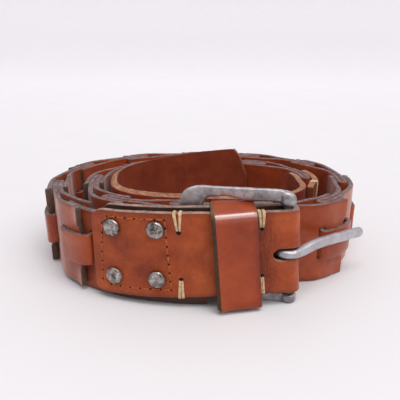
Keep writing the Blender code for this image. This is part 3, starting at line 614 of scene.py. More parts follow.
class Strip:
    """One strip of leather, collected row by row from end to end and then made into a closed mesh."""

    def __init__(self, thickness, raised=lift, centred=None, width=STRAP_WIDTH, columns=(6, 7, 6)):
        self.thickness = thickness
        self.raised = raised
        self.centred = centred or raised
        self.width = width
        self.columns = columns
        self.rows = []
        self.cells = []

    def row(self, along, out, half_middle=TONGUE_WIDTH / 2, trim=0.0, cells=ALL):
        """cells says which of the bands below, in and above the middle are leather since the row before."""
        if self.rows:
            self.cells.append(cells)
        bottom = self.raised(along)
        centre = self.centred(along) + self.width / 2
        top = bottom + self.width - trim
        self.rows.append((along, out, bottom + trim, centre - half_middle, centre + half_middle, top))

    def run(self, points, cells=ALL, half_middle=TONGUE_WIDTH / 2):
        for along, out in points:
            self.row(along, out, half_middle, cells=cells)

    def follow(self, line, start, end):
        """Rows from start to end, as far out as the line says."""
        self.run([(along, line(along)) for along in stations(start, end)])

    def slot(self, here, opening, line):
        """Rows at both edges of a slot centred at a length along the belt."""
        half = math.copysign(opening / 2, here - self.rows[-1][0])
        for along, cells in ((here - half, ALL), (here + half, EARS)):
            self.run([(along, line(along))], cells, (TONGUE_WIDTH + TONGUE_CLEARANCE) / 2)

    def refined(self):
        """The rows with more between them, so that none is far from the next."""
        rows, cells = [self.rows[0]], []
        for before, after, pattern in zip(self.rows, self.rows[1:], self.cells):
            gap = math.hypot(after[0] - before[0], after[1] - before[1])
            steps = max(1, round(gap / FINE))
            for i in range(1, steps + 1):
                rows.append(tuple(b + (a - b) * i / steps for b, a in zip(before, after)))
                cells.append(pattern)
        return rows, cells

    def body(self, name, face, edge, seed, back=None, shape=None):
        """face is the side on the left of the way that the rows run. shape moves (along, out, height)."""
        rows, patterns = self.refined()
        build = bmesh.new()
        spots, face_of = strip_faces(build)
        grid, run, before = [], 0.0, rows[0]
        for row, sides in zip(rows, offset_sides([row[:2] for row in rows], self.thickness)):
            run += math.hypot(row[0] - before[0], row[1] - before[1])
            before = row
            base = self.raised(row[0])
            heights = []
            for low, high, count in zip(row[2:5], row[3:6], self.columns):
                heights += [low + (high - low) * i / count for i in range(count)]
            line = []
            for height in [*heights, row[5]]:
                pair = []
                for p in sides:
                    spot = shape(p.x, p.y, height) if shape else (p.x, p.y, height)
                    pair.append(build.verts.new(place(*spot)))
                    spots[pair[-1]] = (run, height - base)
                line.append(pair)
            grid.append(line)
        bands = [number for number, count in enumerate(self.columns) for _ in range(count)]

        def there(r, c):
            return 0 <= r < len(patterns) and 0 <= c < len(bands) and patterns[r][bands[c]]

        for r in range(len(patterns)):
            for c in range(len(bands)):
                if not there(r, c):
                    continue
                low, high = grid[r][c], grid[r][c + 1]
                next_low, next_high = grid[r + 1][c], grid[r + 1][c + 1]
                face_of((low[0], next_low[0], next_high[0], high[0]), 0)
                face_of((low[1], high[1], next_high[1], next_low[1]), 2)
                if not there(r, c - 1):
                    face_of((low[0], low[1], next_low[1], next_low[0]), 1)
                if not there(r, c + 1):
                    face_of((high[0], next_high[0], next_high[1], high[1]), 1)
                if not there(r - 1, c):
                    face_of((low[0], high[0], high[1], low[1]), 1)
                if not there(r + 1, c):
                    face_of((next_low[0], next_low[1], next_high[1], next_high[0]), 1)
        loose = [v for v in build.verts if not v.link_faces]
        bmesh.ops.delete(build, geom=loose, context="VERTS")
        thing = make_object(name, build, face, edge, back or face)
        mesh = soften(thing, BEVEL)
        rim = {v for p in mesh.polygons if p.material_index == 1 for v in p.vertices}
        ripple(mesh, 9 * MM, 0.16 * MM, seed)
        ripple(mesh, 2.2 * MM, 0.05 * MM, seed + 0.5)
        ripple(mesh, 0.7 * MM, 0.10 * MM, seed + 0.7, rim)
        shade(mesh, 60)
        return thing


def make_base_strap():
    slot = FIRST_LINK - TONGUE_REACH
    strip = Strip(BASE_LEATHER, lambda along: BASE_LIFT, lambda along: lift(slot))
    strip.run([(BASE_START, 0.0), (slot - 5 * MM, 0.0)])
    strip.slot(slot, LINK_SLOT, lambda along: 0.0)
    strip.run([(slot + 5 * MM, 0.0), (FIRST_LINK + LINK_OVERLAP, 0.0)])
    return strip.body("base_strap_leather", BASE_FACE, LINK_EDGE, 0.3)


def tongue_line(start, spread, thickness, cover):
    """The tongue's middle line, out through the slot of the piece before and back over the outer plate."""
    slot = start - TONGUE_REACH
    above = spread + LINK_LEATHER / 2 + LAYER_GAP + thickness / 2
    return rounded([
        (start - 0.3 * TONGUE_REACH, -spread),
        (slot, -spread),
        (slot, above - 0.2 * thickness),
        (slot + 2.2 * thickness, above + 0.05 * thickness),
        (start + cover, above),
        (start + cover, spread - 0.2 * thickness),
    ], (1.2 * thickness, 1.3 * thickness, 0.9 * thickness, 0.9 * thickness))


# How much the links differ at most: how far a plate's corners stand off and over what length, how far a
# link rises, and how much a tongue is shorter and lower. The tongue behind the frame is also set back
FLARE = 1.4 * MM
FLARE_LENGTH = 6.0 * MM
FLARE_SIDE = 3.0 * MM
RISE = 0.5 * MM
SHORTER = 2.4 * MM
TONGUE_SHIFT = 1.1 * MM
BEHIND_FRAME = 10
SET_BACK = 0.45 * MM
TUCK_MARGIN = 3.0 * MM
SLOT_MARGIN = 3.6 * MM


def make_link(number):
    start = FIRST_LINK + number * LINK_PITCH
    half = LINK_LEATHER / 2
    held = BASE_LEATHER if number == 0 else 2 * LINK_LEATHER + LAYER_GAP
    wide = held / 2 + LAYER_GAP + half
    closed = LAYER_GAP / 2 + half
    past_held = start + LINK_OVERLAP + LINK_RELIEF
    next_slot = start + LINK_PITCH - TONGUE_REACH
    opening = (TAIL_LEATHER if number == LINK_COUNT - 1 else LINK_LEATHER) + TONGUE_CLEARANCE
    seeds = [Vector((number * 3.7, 0.5 + i * 5.3, 1.7)) for i in range(3)]
    flared, risen, shifted = [0.5 + 0.5 * noise.noise(seed) for seed in seeds]
    shortened = shifted
    if number == 0:
        flared, risen, shifted, shortened = 1.0, 0.2, 0.0, 1.0
    if number == BEHIND_FRAME:
        shifted = 1.0

    def outer(along):
        share = fade(along, past_held, next_slot - 2 * half)
        return wide + (closed - wide) * (eased(share) * 0.5 + share * 0.5)

    def inner(along):
        return -outer(along)

    def vary(along, out, height):
        """The plates' corners beside the tongue stand off a little, and no two links sit at one height."""
        beside = abs(height - lift(along) - STRAP_WIDTH / 2) - TONGUE_WIDTH / 2 - 1.0 * MM
        share = 1 - fade(along, start, start + FLARE_LENGTH) if along > start - MM else 0.0
        if beside > 0 and out > 0.3 * wide:
            out += (FLARE * flared + 0.4 * (out - wide)) * share * share * fade(beside, 0.0, FLARE_SIDE)
        if out > wide + half + 0.1 * MM:
            height -= TONGUE_SHIFT * shifted
            out -= SET_BACK if number == BEHIND_FRAME else 0.0
        return along, out, height + RISE * risen

    cover = TONGUE_COVER - SHORTER * shortened
    tuck = start + cover
    last = start + LINK_PITCH + LINK_OVERLAP - half - closed
    strip = Strip(LINK_LEATHER)
    strip.follow(outer, start, tuck - TUCK_MARGIN)
    strip.slot(tuck, LINK_SLOT, outer)
    strip.follow(outer, tuck + TUCK_MARGIN, next_slot - SLOT_MARGIN)
    strip.slot(next_slot, opening, outer)
    strip.follow(outer, next_slot + SLOT_MARGIN, last)
    fold = [math.pi * i / 8 for i in range(1, 8)]
    strip.run([(last + closed * math.sin(a), closed * math.cos(a)) for a in fold])
    strip.follow(inner, last, next_slot + SLOT_MARGIN)
    strip.slot(next_slot, opening, inner)
    strip.follow(inner, next_slot - SLOT_MARGIN, start)
    strip.run(tongue_line(start, wide, LINK_LEATHER, cover), MIDDLE)
    return strip.body("link_%02d_leather" % (number + 1), LINK_FACE, LINK_EDGE, number + 1.0, shape=vary)


# How far the chape's bend and the buckle lean, as a share of the height above or below the prong
BUCKLE_LEAN = 0.080
LEAN_FREE = 5 * MM

# How far the chape's lower edge is cut back, in millimetres, at lengths along the belt
TAPER = ((0.0, 0.008, 0.014, 0.022, 0.034, 0.060, 0.086), (1.4, 2.2, 2.6, 2.2, 1.2, 0.6, 0.3))

# How much the tail's upper outer corner is shaved down, and between what lengths beyond its flap that sets in
SHAVED = 1.3 * MM
SHAVED_FROM, SHAVED_TO = 10 * MM, 30 * MM

# The hollow that a rivet presses into the front of the leather
DIMPLE = 0.35 * MM
DIMPLE_LAYER = 1.2 * MM


def lean(above):
    """The shift along the belt at a height above the buckle's middle, with none where the prong is."""
    return BUCKLE_LEAN * math.copysign(max(0.0, abs(above) - LEAN_FREE), above)


def dimple(mesh, centre, normal):
    """Press a soft round hollow into a sheet round a rivet."""
    for vertex in mesh.vertices:
        apart = vertex.co - centre
        off = apart.dot(normal)
        if abs(off) < DIMPLE_LAYER:
            share = fade((apart - normal * off).length, RIVET_HEAD, RIVET_HEAD / 2)
            vertex.co -= normal * (DIMPLE * eased(share))


def make_chape():
    middle = CHAPE_INNER + CHAPE_LEATHER / 2
    strip = Strip(CHAPE_LEATHER, width=CHAPE_WIDTH, columns=(10, 4, 10))
    slot = PRONG_SLOT_HEIGHT / 2
    narrow = slot * 0.4
    for i in range(5):
        angle = math.radians(22.5 * i)
        inset, trim = (CHAPE_CORNER * (1 - turn(angle)) for turn in (math.cos, math.sin))
        strip.row(CHAPE_LENGTH - inset, middle, narrow, trim)
    ends = stations(CHAPE_LENGTH - CHAPE_CORNER - 1.5 * MM, PRONG_SLOT_REACH + 1.5 * MM)
    strip.run([(along, middle) for along in [*ends, PRONG_SLOT_REACH]], ALL, narrow)
    for degrees in (24, 45, 66, 90):
        angle = math.radians(degrees)
        inset, half = slot * (1 - math.cos(angle)), slot * math.sin(angle)
        strip.run([(PRONG_SLOT_REACH - inset, middle)], EARS, max(half, narrow))
    strip.run([(1.0 * MM, middle)], EARS, slot)
    layer, cells = strip.rows[::-1], strip.cells[::-1]
    bend = [math.pi * i / 16 for i in range(17)]
    strip.run([(-middle * math.sin(a), middle * math.cos(a)) for a in bend], EARS, slot)
    strip.rows += [(along, -out, *heights) for along, out, *heights in layer]
    strip.cells += [EARS, *cells]

    def taper(along, out, height):
        """The strap's lower edge is cut higher towards the bend, which leans."""
        above = height - lift(along) - CHAPE_WIDTH / 2
        low = max(0.0, -above / (CHAPE_WIDTH / 2))
        bent = fade(along, 22 * MM, 6 * MM)
        return along + lean(above) * bent, out, height + float(np.interp(along, *TAPER)) * MM * low

    thing = strip.body("chape_leather", LINING, STRAP_EDGE, 40.0, STRAP_FACE, taper)
    for along, height in RIVETS:
        dimple(thing.data, place(along, CHAPE_OUTER, height), heading(along)[1])
    return thing


def make_tail_strap():
    half = TAIL_LEATHER / 2
    held = 2 * LINK_LEATHER + LAYER_GAP
    spread = held / 2 + LAYER_GAP + half
    slot, near = TAIL_START - TONGUE_REACH, TAIL_START - 0.3 * TONGUE_REACH
    far = BELT_LENGTH - TAIL_TIP
    strip = Strip(TAIL_LEATHER)

    def settled(along, reach):
        return eased(fade(along, TAIL_START + LINK_OVERLAP, TAIL_START + reach))

    def inner(along):
        return -spread + settled(along, TAIL_SETTLE) * (spread - half - LAYER_GAP)

    def flap(along):
        return spread + settled(along, TAIL_FLAP) * (inner(along) + 2 * half + LAYER_GAP - spread)

    def shaved(along, out, height):
        at_corner = height > lift(along) + STRAP_WIDTH - 0.1 * MM and out > inner(along)
        share = fade(along - TAIL_START - TAIL_FLAP, SHAVED_FROM, SHAVED_TO)
        return along, out, height - (SHAVED * share if at_corner else 0.0)

    strip.follow(flap, TAIL_START + TAIL_FLAP, TAIL_START)
    tongue = [(near, spread), (slot, spread), (slot, -spread), (near, -spread)]
    strip.run(rounded(tongue, [0.7 * TAIL_LEATHER] * 2), MIDDLE)
    strip.run([(TAIL_START, inner(TAIL_START))], MIDDLE)
    strip.run([(along, inner(along)) for along in stations(TAIL_START, far)[1:]])
    for reach, trim in TIP_OUTLINE:
        along = far + TAIL_TIP * reach
        strip.row(along, inner(along), TONGUE_WIDTH / 4, STRAP_WIDTH * trim)
    return strip.body("tail_leather", TAIL_GRAIN, TAIL_EDGE, 50.0, TAIL_FACE, shaved)


def keeper_outline(front, wall):
    """The loop's section a wall outside its inner face, as (out, up) points from the chape's middle."""
    plain_corner, full_corner = KEEPER_CORNER + wall, KEEPER_FULL_CORNER + wall
    right, left = front + wall, -CHAPE_OUTER - KEEPER_BACK_GAP - wall
    top = CHAPE_WIDTH / 2 + LAYER_GAP + wall
    points = []
    for x, y, turn in ((right, top, 0), (left, top, 1), (left, -top, 2), (right, -top - KEEPER_SAG, 3)):
        radius = plain_corner if turn else full_corner
        cx = x - radius if turn in (0, 3) else x + radius
        cy = y - radius if turn in (0, 1) else y + radius
        if turn == 3:
            points.append((CHAPE_OUTER, -top))
        for step in range(10):
            angle = math.radians(90 * turn + 10 * step)
            points.append((cx + radius * math.cos(angle), cy + radius * math.sin(angle)))
    return points


# The keeper's edges are rounded this much, and longer stretches of its section are divided to ripple
KEEPER_BEVEL = 0.35 * MM
LONGEST = 2.5 * MM


def make_keeper():
    build = bmesh.new()
    spots, face_of = strip_faces(build)
    rings = []
    for along in stations(KEEPER_START, KEEPER_START + KEEPER_WIDTH, FINE):
        share = (along - KEEPER_START) / KEEPER_WIDTH
        loose = KEEPER_LOOSENESS * (KEEPER_NEAR_SHARE + (1 - KEEPER_NEAR_SHARE) * share)
        centre = lift(along) + CHAPE_WIDTH / 2
        walls = []
        for wall in (0.0, KEEPER_LEATHER):
            outline = keeper_outline(CHAPE_OUTER + LAYER_GAP + loose, wall)
            ring, run, before = [], 0.0, outline[0]
            for out, up in outline:
                run += math.hypot(out - before[0], up - before[1])
                before = (out, up)
                high = 0.5 + up / CHAPE_WIDTH
                slant = high * KEEPER_LEAN - (1 - high) * KEEPER_FOOT * (1 - 0.3 * share)
                skive = KEEPER_SKIVE * max(0.0, 5 * share - 4) * (wall > 0)
                ring.append(build.verts.new(place(along + slant - skive, out, centre + up)))
                spots[ring[-1]] = (run, along - KEEPER_START)
            walls.append(ring)
        rings.append(walls)
    for first, second in zip(rings, rings[1:]):
        band(face_of, first[0], second[0])
        band(face_of, first[1], second[1])
    for walls in (rings[0], rings[-1]):
        band(lambda corners: face_of(corners, 1), *walls)
    bmesh.ops.recalc_face_normals(build, faces=build.faces[:])
    long_edges = [e for e in build.edges if e.calc_length() > LONGEST]
    bmesh.ops.subdivide_edges(build, edges=long_edges, cuts=8, use_grid_fill=True)
    thing = make_object("keeper_leather", build, KEEPER_FACE, KEEPER_EDGE)
    mesh = soften(thing, KEEPER_BEVEL)
    ripple(mesh, 12 * MM, 0.12 * MM, 60.0)
    shade(mesh, 60)
    return thing


def lathe(name, profile, sides, look):
    """A closed turned mesh about +Z from a profile of (radius, height) points, from axis to axis."""
    build = bmesh.new()
    rings = []
    for radius, height in profile:
        turns = angles(sides) if radius else [0.0]
        rings.append([build.verts.new((radius * math.cos(a), radius * math.sin(a), height)) for a in turns])
    skin(build, rings)
    thing = make_object(name, build, look)
    shade(thing.data, 50)
    return thing


def face_out(along, out, height):
    """The frame of a piece set in the belt: +Z points out of it, and +Y up."""
    normal = heading(along)[1]
    turn = Matrix((Vector((0, 0, 1)).cross(normal), Vector((0, 0, 1)), normal)).transposed().to_4x4()
    return Matrix.Translation(place(along, out, height)) @ turn


# A rivet's domed head: shares of its radius, and millimetres below its top
RIVET_DOME = ((0.0, 0.0), (0.30, 0.03), (0.60, 0.16), (0.78, 0.34), (0.88, 0.52), (0.96, 0.82), (1.0, 1.2))


def make_rivets():
    seat = CHAPE_OUTER + 0.02 * MM
    burr = -CHAPE_OUTER - LAYER_GAP
    head = RIVET_HEAD / 2
    top = CHAPE_OUTER + LAYER_GAP + RIVET_HEAD_HEIGHT
    profile = [(share * head, top - drop * MM) for share, drop in RIVET_DOME]
    profile += [(0.985 * head, seat + 0.06 * MM), (0.93 * head, seat)]
    profile += [(RIVET_SHANK / 2, seat), (RIVET_SHANK / 2, burr), (RIVET_BURR / 2, burr)]
    profile += [(RIVET_BURR / 2, burr - 0.6 * RIVET_BURR_HEIGHT)]
    profile += [(0.4 * RIVET_BURR, burr - RIVET_BURR_HEIGHT), (0.0, burr - RIVET_BURR_HEIGHT)]
    made = []
    for number, (along, height) in enumerate(RIVETS, 1):
        rivet = lathe("rivet_%d_metal" % number, profile, 40, RIVET_METAL)
        rivet.data.transform(face_out(along, 0, height))
        ripple(rivet.data, 2.5 * MM, 0.10 * MM, 70.0 + number)
        made.append(rivet)
    return made


def ways(path):
    """The direction of a path at each of its points."""
    return [(after - before).normalized() for before, after in zip(path[:1] + path, path[1:] + path[-1:])]


def tube(build, points, widths, axes, power=2.0):
    """A closed tube of rounded rings; widths and axes hold each ring's two half widths and directions."""
    rings = []
    for point, (wide, high), (across, up) in zip(points, widths, axes):
        ring = []
        for angle in angles(28):
            c, s = (math.copysign(abs(v) ** (2 / power), v) for v in (math.cos(angle), math.sin(angle)))
            ring.append(build.verts.new(point + across * wide * c + up * high * s))
        rings.append(ring)
    skin(build, rings)


def curve_through(points, count):
    """Rows spread evenly on a smooth curve through the given ones, which start with x, y and z."""
    points = np.array(points, float)
    reach = np.concatenate(([0], np.cumsum(np.linalg.norm(np.diff(points[:, :3], axis=0), axis=1))))
    return curve(reach, points, np.linspace(0, reach[-1], count))


def bar_matrix(turn):
    """The bar's own frame: +X points away from the bar, +Z up along it, turned about the bar."""
    direction = heading(0.0)[0]
    angle = math.atan2(direction.y, direction.x) + turn
    return Matrix.Translation(place(0, 0, FRAME_HEIGHT / 2)) @ Matrix.Rotation(angle, 4, "Z")


def cast(name, build, voxel, passes, matrix, look, seed):
    """Melt overlapping closed bodies into one smooth cast piece."""
    thing = make_object(name, build, look)
    melt = thing.modifiers.new("melt", "REMESH")
    melt.mode = "VOXEL"
    melt.voxel_size = voxel
    ease = thing.modifiers.new("ease", "SMOOTH")
    ease.factor = 0.5
    ease.iterations = passes
    mesh = bake_modifiers(thing)
    mesh.transform(matrix)
    ripple(mesh, 5.0 * MM, 0.16 * MM, seed)
    ripple(mesh, 1.6 * MM, 0.03 * MM, seed + 0.5)
    mesh.shade_smooth()
    return thing


# The frame's fit to the photo and to its neighbours: the drop of its top, more at the back and over the
# bar, how far the rails are raised and trimmed by the keeper and widened beyond it, and a thinner bar
TOP_DROP, BACK_DROP, BAR_DROP = 0.1 * MM, 1.1 * MM, 1.6 * MM
RAIL_RAISED, RAIL_TRIMMED, RAIL_WIDENED = 2.4 * MM, 1.2 * MM, 3.5 * MM
BAR_THINNER = 0.25 * MM


def fit_frame(x, y, z):
    """Where a point of the plain upright frame goes: +X away from the bar, +Z up from its middle."""
    top = fade(z, 19 * MM, 27.4 * MM)
    back = fade(y, FRAME_DEPTH / 2, -FRAME_DEPTH / 2)
    by_bar = fade(x, 3.5 * MM, -3.7 * MM)
    z -= top * (TOP_DROP + BACK_DROP * back + BAR_DROP * by_bar * by_bar)
    upper_rail = fade(z, 24.5 * MM, 21 * MM) * fade(z, 8 * MM, 15 * MM)
    by_keeper = fade(x, 18 * MM, 26 * MM) * fade(x, 37 * MM, 34 * MM)
    beyond = fade(x, 35.5 * MM, 38.5 * MM)
    z += (RAIL_RAISED * by_keeper - RAIL_WIDENED * beyond) * upper_rail
    if z < -15 * MM:
        z -= RAIL_TRIMMED * by_keeper * fade(z, -26.4 * MM, -24.4 * MM)
    return x + lean(z) * math.cos(FRAME_TURN), y - lean(z) * math.sin(FRAME_TURN), z


def make_buckle_frame():
    corner = FRAME_CORNER - FRAME_FAR_RAIL / 2
    far = FRAME_REACH - FRAME_FAR_RAIL / 2
    top = (FRAME_HEIGHT - FRAME_FAR_RAIL) / 2
    halves = []
    for column, side in ((1, 1), (2, -1)):
        half = []
        for row in RAIL_WIDTHS:
            width = FRAME_FAR_RAIL * row[column]
            half.append((far * row[0], 0, side * (FRAME_HEIGHT - width) / 2, width))
        for i in range(6):
            a = math.radians(18 * i)
            x, z = far - corner * (1 - math.sin(a)), top - corner * (1 - math.cos(a))
            half.append((x, 0, side * z, FRAME_FAR_RAIL))
        halves.append(half)
    route = curve_through(halves[0] + halves[1][::-1], 90)
    spots = [Vector(row[:3]) for row in route]
    east, north = Vector((1, 0, 0)), Vector((0, 1, 0))
    build = bmesh.new()
    tube(build, spots, [(row[3] / 2, FRAME_DEPTH / 2) for row in route],
         [(way.cross(north).normalized(), north) for way in ways(spots)], 6.0)
    ends = {"radius1": BAR_RADIUS - BAR_THINNER, "radius2": BAR_RADIUS - BAR_THINNER}
    bmesh.ops.create_cone(build, cap_ends=True, segments=24, depth=FRAME_HEIGHT - KNUCKLE / 2, **ends)
    for side, high in ((1, KNUCKLE + KNUCKLE_DROP), (-1, FRAME_FAR_RAIL * RAIL_WIDTHS[0][2])):
        spots = [Vector((0, 0, side * (FRAME_HEIGHT / 2 - high * i / 12))) for i in range(13)]
        round_off = [max(0.02, 1 - abs(1 - i / 6) ** 3.2) ** (1 / 3.2) * KNUCKLE / 2 for i in range(13)]
        tube(build, spots, [(r, r) for r in round_off], [(east, north)] * 13)
    for vertex in build.verts:
        vertex.co = fit_frame(*vertex.co)
    return cast("buckle_frame_metal", build, 0.30 * MM, 2, bar_matrix(FRAME_TURN), PEWTER, 80.0)


def make_prong():
    eye = BAR_RADIUS + BAR_CLEARANCE
    half = PRONG_THICKNESS / 2
    aside = -(eye + 1.1 * half)
    rows = []
    for share, rise, beaten in PRONG_LINE:
        high = half + (PRONG_HEIGHT / 2 - half) * beaten
        rows.append((PRONG_LENGTH * share, aside, PRONG_DROOP * rise, high))
    route = curve_through(rows, 70)
    build = bmesh.new()
    tube(build, [Vector(row[:3]) for row in route], [(min(row[3], 0.95 * half), row[3]) for row in route],
         [(Vector((0, 1, 0)), Vector((0, 0, 1)))] * len(route), 2.3)
    ring = [(eye + half + 0.98 * half * math.cos(a), 0.97 * half * math.sin(a)) for a in angles(24)]
    loops = []
    for a in angles(40):
        loops.append([build.verts.new((r * math.cos(a), r * math.sin(a), z)) for r, z in ring])
    for first, second in zip(loops, loops[1:] + loops[:1]):
        band(build.faces.new, first, second)
    sunk = Vector((0, 0, lift(0) + (CHAPE_WIDTH - FRAME_HEIGHT) / 2))
    bmesh.ops.translate(build, verts=build.verts, vec=sunk)
    return cast("prong_metal", build, 0.26 * MM, 3, bar_matrix(math.pi + PRONG_TURN), PRONG_METAL, 90.0)


# Threads

def cord_mesh(name, path, wide, thick, outward, look, sides=10, narrow=1.0):
    """A thread as a closed tube on a path, flattened: wide across, thick along its outward directions."""
    build = bmesh.new()
    spots, face_of = strip_faces(build)
    rings, run, before = [], 0.0, path[0]
    for i, (point, way, out) in enumerate(zip(path, ways(path), outward)):
        run += (point - before).length
        before = point
        up = (out - way * out.dot(way)).normalized()
        across = way.cross(up)
        taper = 0.6 if i in (0, len(path) - 1) else 1.0
        width = wide * taper * (narrow + (1 - narrow) * min(1.0, i / 5))
        ring = []
        for a in angles(sides):
            spot = point + across * (width / 2 * math.cos(a)) + up * (thick / 2 * taper * math.sin(a))
            ring.append(build.verts.new(spot))
            spots[ring[-1]] = (run, a / 2 * wide)
        rings.append(ring)
    skin(build, rings, face_of)
    thing = make_object(name, build, look)
    thing.data.shade_smooth()
    return thing


def join(name, things):
    """One object of several."""
    build = bmesh.new()
    looks = []
    for thing in things:
        looks += [look for look in thing.data.materials if look not in looks]
        before = len(build.faces)
        build.from_mesh(thing.data)
        build.faces.ensure_lookup_table()
        for made in build.faces[before:]:
            made.material_index = looks.index(thing.data.materials[made.material_index])
        bpy.data.objects.remove(thing, do_unlink=True)
    return make_object(name, build, *looks)


class Surface:
    """Where a strap's mesh really lies: how far out its front is, and how high its edge."""

    def __init__(self, thing):
        spots = [v.co for v in thing.data.vertices]
        self.tree = BVHTree.FromPolygons(spots, [p.vertices[:] for p in thing.data.polygons])

    def out(self, along, height):
        normal = heading(along)[1]
        spot = self.tree.ray_cast(place(along, 20 * MM, height), -normal)[0]
        spot = spot or self.tree.find_nearest(place(along, CHAPE_OUTER, height))[0]
        return (spot - place(along, 0, height)).dot(normal)

    def edge(self, along, out, side):
        start = place(along, out, STRAP_WIDTH / 2 + side * 50 * MM)
        return self.tree.ray_cast(start, Vector((0, 0, -side)))[0].z

    def path(self, start, end, stops, unit):
        """A path between two places on the front, and its outward directions.

        stops holds shares of the way, and how many units off the leather."""
        path, outward = [], []
        for share, off in stops:
            along, height = (a + (b - a) * share for a, b in zip(start, end))
            path.append(place(along, self.out(along, height) + off * unit, height))
            outward.append(heading(along)[1])
        return path, outward


def pit(name, along, out, height, radius):
    """A thread hole as painted shade: a low dark spot that lies on the leather."""
    profile = [(0.0, 0.05 * MM), (0.7 * radius, 0.05 * MM), (radius, -0.02 * MM), (0.9 * radius, -0.2 * MM)]
    thing = lathe(name, [*profile, (0.0, -0.2 * MM)], 12, HOLE_SHADE)
    thing.data.transform(face_out(along, out, height))
    return thing


# The row of machine stitches round the rivets: its corners, in millimetres from the chape's end and above
# its middle, the way from hole to hole, and a stitch's line as shares of it and millimetres off the leather
SEAM_CORNERS = (
    (8.0, 17.7), (33.3, 17.5), (33.6, 13.6), (35.6, -15.9), (8.0, -15.9), (4.0, -13.6), (5.4, 14.2),
)
SEAM_PITCH = 4.4 * MM
STITCH = ((0.12, -0.2), (0.20, 0.02), (0.36, 0.12), (0.64, 0.12), (0.80, 0.02), (0.88, -0.2))
STITCH_WIDTH, STITCH_THICKNESS = 0.60 * MM, 0.36 * MM
SEAM_HOLE = 0.52 * MM


def make_seam(surface):
    things = []
    corners = [(CHAPE_LENGTH - x * MM, y * MM) for x, y in SEAM_CORNERS]
    for (x0, y0), (x1, y1) in zip(corners, corners[1:] + corners[:1]):
        count = max(1, round(math.hypot(x1 - x0, y1 - y0) / SEAM_PITCH))
        holes = []
        for i in range(count + 1):
            along = x0 + (x1 - x0) * (i / count)
            holes.append((along, lift(along) + CHAPE_WIDTH / 2 + y0 + (y1 - y0) * (i / count)))
        for start, end in zip(holes, holes[1:]):
            things.append(pit("seam_hole", start[0], surface.out(*start), start[1], SEAM_HOLE))
            path, outward = surface.path(start, end, STITCH, MM)
            stitch = cord_mesh("seam_stitch", path, STITCH_WIDTH, STITCH_THICKNESS, outward, SEAM_THREAD, 8)
            things.append(stitch)
    return join("seam", things)


# The thick thread loops, in millimetres along the belt and above the strap's middle: the hole's place and
# height, where the two strands cross the strap's edge, and which edge
LOOPS = (
    ("loop_1", 47.5, 12.4, 49.3, 46.8, 1),
    ("loop_2", 46.7, -11.0, 47.4, 45.9, -1),
    ("loop_3", 13.1, 13.6, 14.4, 12.6, 1),
    ("loop_4", 12.3, -9.8, 12.4, 11.2, -1),
)
STRAND_WIDTH, STRAND_THICKNESS = 1.45 * MM, 0.6 * MM
LOOP_HOLE = 1.15 * MM
FROM_EDGE = 1.5 * MM

# A strand's line from the hole to the edge, as shares and half thicknesses off the leather
STRAND = ((0.0, -0.4), (0.06, 0.2), (0.25, 1.0), (0.5, 1.0), (0.72, 1.0), (0.90, 0.9))


def make_loop(name, surface, hole, height, crossings, side, thickness):
    """Two strands from a hole in the leather's front, over its edge and down behind."""
    out = surface.out(hole, height)
    things = [pit(name + "_hole", hole, out, height - side * 0.5 * MM, LOOP_HOLE)]
    raised = STRAND_THICKNESS / 2
    for beside, apart in zip(crossings, (0.5 * MM, -0.5 * MM)):
        front = surface.out(beside, surface.edge(beside, out - FROM_EDGE, side) - side * FROM_EDGE)
        edge = surface.edge(beside, front - FROM_EDGE, side)
        back = front - thickness
        path, outward = surface.path((hole + apart, height), (beside, edge), STRAND, raised)
        around = ((front, 0.2, 0.7, 0.7), (front - 0.7 * MM, 0.7, 0, 1), (0.5 * (front + back), 0.7, 0, 1),
                  (back + 0.7 * MM, 0.7, 0, 1), (back, 0.2, -0.7, 0.7), (back - raised, -3.0, -1, 0),
                  (back - raised, -8.0, -1, 0), (back, -13.0, -1, 0), (back + 0.6 * MM, -15.0, -1, 0))
        for away, above, face, rise in around:
            path.append(place(beside, away, edge + side * above * raised))
            outward.append((heading(beside)[1] * face + Vector((0, 0, side * rise))).normalized())
        things.append(cord_mesh(name + "_strand", path, STRAND_WIDTH, STRAND_THICKNESS, outward,
                                CREAM_THREAD, narrow=0.6))
    return join(name, things)


# Put the pieces together
def dress(piece, slot, body, *nodes):
    if nodes:
        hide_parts(*nodes)
    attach(piece, body)


chape, tail = make_chape(), make_tail_strap()
chape_surface, tail_surface = Surface(chape), Surface(tail)
dress(make_base_strap(), "strap_tan", "belt", "base_strap")
dress(chape, "strap_tan", "belt", "chape")
dress(tail, "tail_brown", "belt", "tail_strap")
dress(make_keeper(), "keeper_red", "belt", "keeper")
for number in range(LINK_COUNT):
    dress(make_link(number), "link_brown", "belt", "link_%02d" % (number + 1))
for number, rivet in enumerate(make_rivets()):
    dress(rivet, "pewter", "belt", "rivet_%d" % (number + 1))
dress(make_buckle_frame(), "pewter", "frame", "buckle_frame")
dress(make_prong(), "prong_grey", "prong", "prong")
dress(make_seam(chape_surface), "strap_tan", "belt")
for name, hole, height, first, second, side in LOOPS:
    middle = lift(hole * MM) + CHAPE_WIDTH / 2
    loop = make_loop("thread_" + name, chape_surface, hole * MM, middle + height * MM,
                     (first * MM, second * MM), side, CHAPE_LEATHER)
    dress(loop, "strap_tan", "belt")
knot = TAIL_START + TAIL_LOOP
loop = make_loop("thread_loop_5", tail_surface, knot, 31.0 * MM, (knot - 0.5 * MM, knot - 2.2 * MM), 1,
                 TAIL_LEATHER)
dress(loop, "tail_brown", "belt")


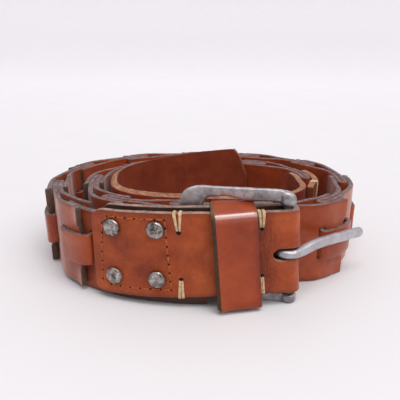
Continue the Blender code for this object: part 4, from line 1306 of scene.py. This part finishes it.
# The stage
def make_stage():
    """A pale floor that curves up into a backdrop far behind."""
    bend = [math.radians(a) for a in range(5, 91, 5)]
    profile = [(-4.0, 0.0), (3.0, 0.0)]
    profile += [(3.0 + 1.5 * math.sin(a), 1.5 - 1.5 * math.cos(a)) for a in bend]
    profile += [(4.5, 4.0)]
    mesh = bpy.data.meshes.new("stage_floor")
    points = [(x, y, z) for y, z in profile for x in (-5.0, 5.0)]
    faces = [(2 * i, 2 * i + 1, 2 * i + 3, 2 * i + 2) for i in range(len(profile) - 1)]
    mesh.from_pydata(points, [], faces)
    mesh.shade_smooth()
    # The floor's darker near tone is painted shade
    mesh.materials.append(plain("stage_white", (224, 222, 224), (247, 245, 249), 0.7))
    floor = add_object("stage_floor", mesh)


def add_light(name, kind, spot, target, power, **settings):
    """A light at a spot that shines on a target."""
    data = bpy.data.lights.new(name, kind)
    data.energy = power
    for key, value in settings.items():
        setattr(data, key, value)
    light = add_object(name, data)
    light.location = spot
    light.rotation_euler = (Vector(target) - Vector(spot)).to_track_quat("-Z", "Y").to_euler()


def make_world():
    """A white studio, darker in front."""
    world = bpy.data.worlds.new("studio")
    world.use_nodes = True
    tree = world.node_tree
    spot = tree.nodes.new("ShaderNodeTexCoord").outputs["Generated"]
    split = tree.nodes.new("ShaderNodeSeparateXYZ")
    tree.links.new(spot, split.inputs[0])
    ramp = tree.nodes.new("ShaderNodeMapRange")
    tree.links.new(split.outputs["Y"], ramp.inputs["Value"])
    ramp.inputs["From Min"].default_value = -1.0
    ramp.inputs["To Min"].default_value = 0.60
    ramp.inputs["To Max"].default_value = 1.14
    background = tree.nodes["Background"]
    tree.links.new(ramp.outputs["Result"], background.inputs["Strength"])
    background.inputs["Color"].default_value = (0.76, 0.745, 0.765, 1.0)
    bpy.context.scene.world = world


make_stage()
make_world()
# Even light with soft shadows, and a long soft light whose gleam runs along the upper bends
add_light("key_light", "SUN", (0.55, -0.50, 0.95), (0, 0, 0), 1.16, angle=math.radians(45.0),
          color=(1.0, 0.985, 0.97))
add_light("strip_light", "AREA", (0.05, -0.42, 1.05), (0, -0.05, 0.03), 4.6, shape="RECTANGLE",
          size=0.80, size_y=0.32)
bpy.context.scene.view_settings.view_transform = "Standard"

camera = add_object("camera", bpy.data.cameras.new("camera"))
camera.data.lens = 45.0
camera.data.sensor_width = 36.0
camera.data.clip_start = 0.01
camera.location = (-0.0007, -0.2506, 0.1240)
camera.rotation_euler = (math.radians(90 - 20.5), 0, 0)
bpy.context.scene.camera = camera
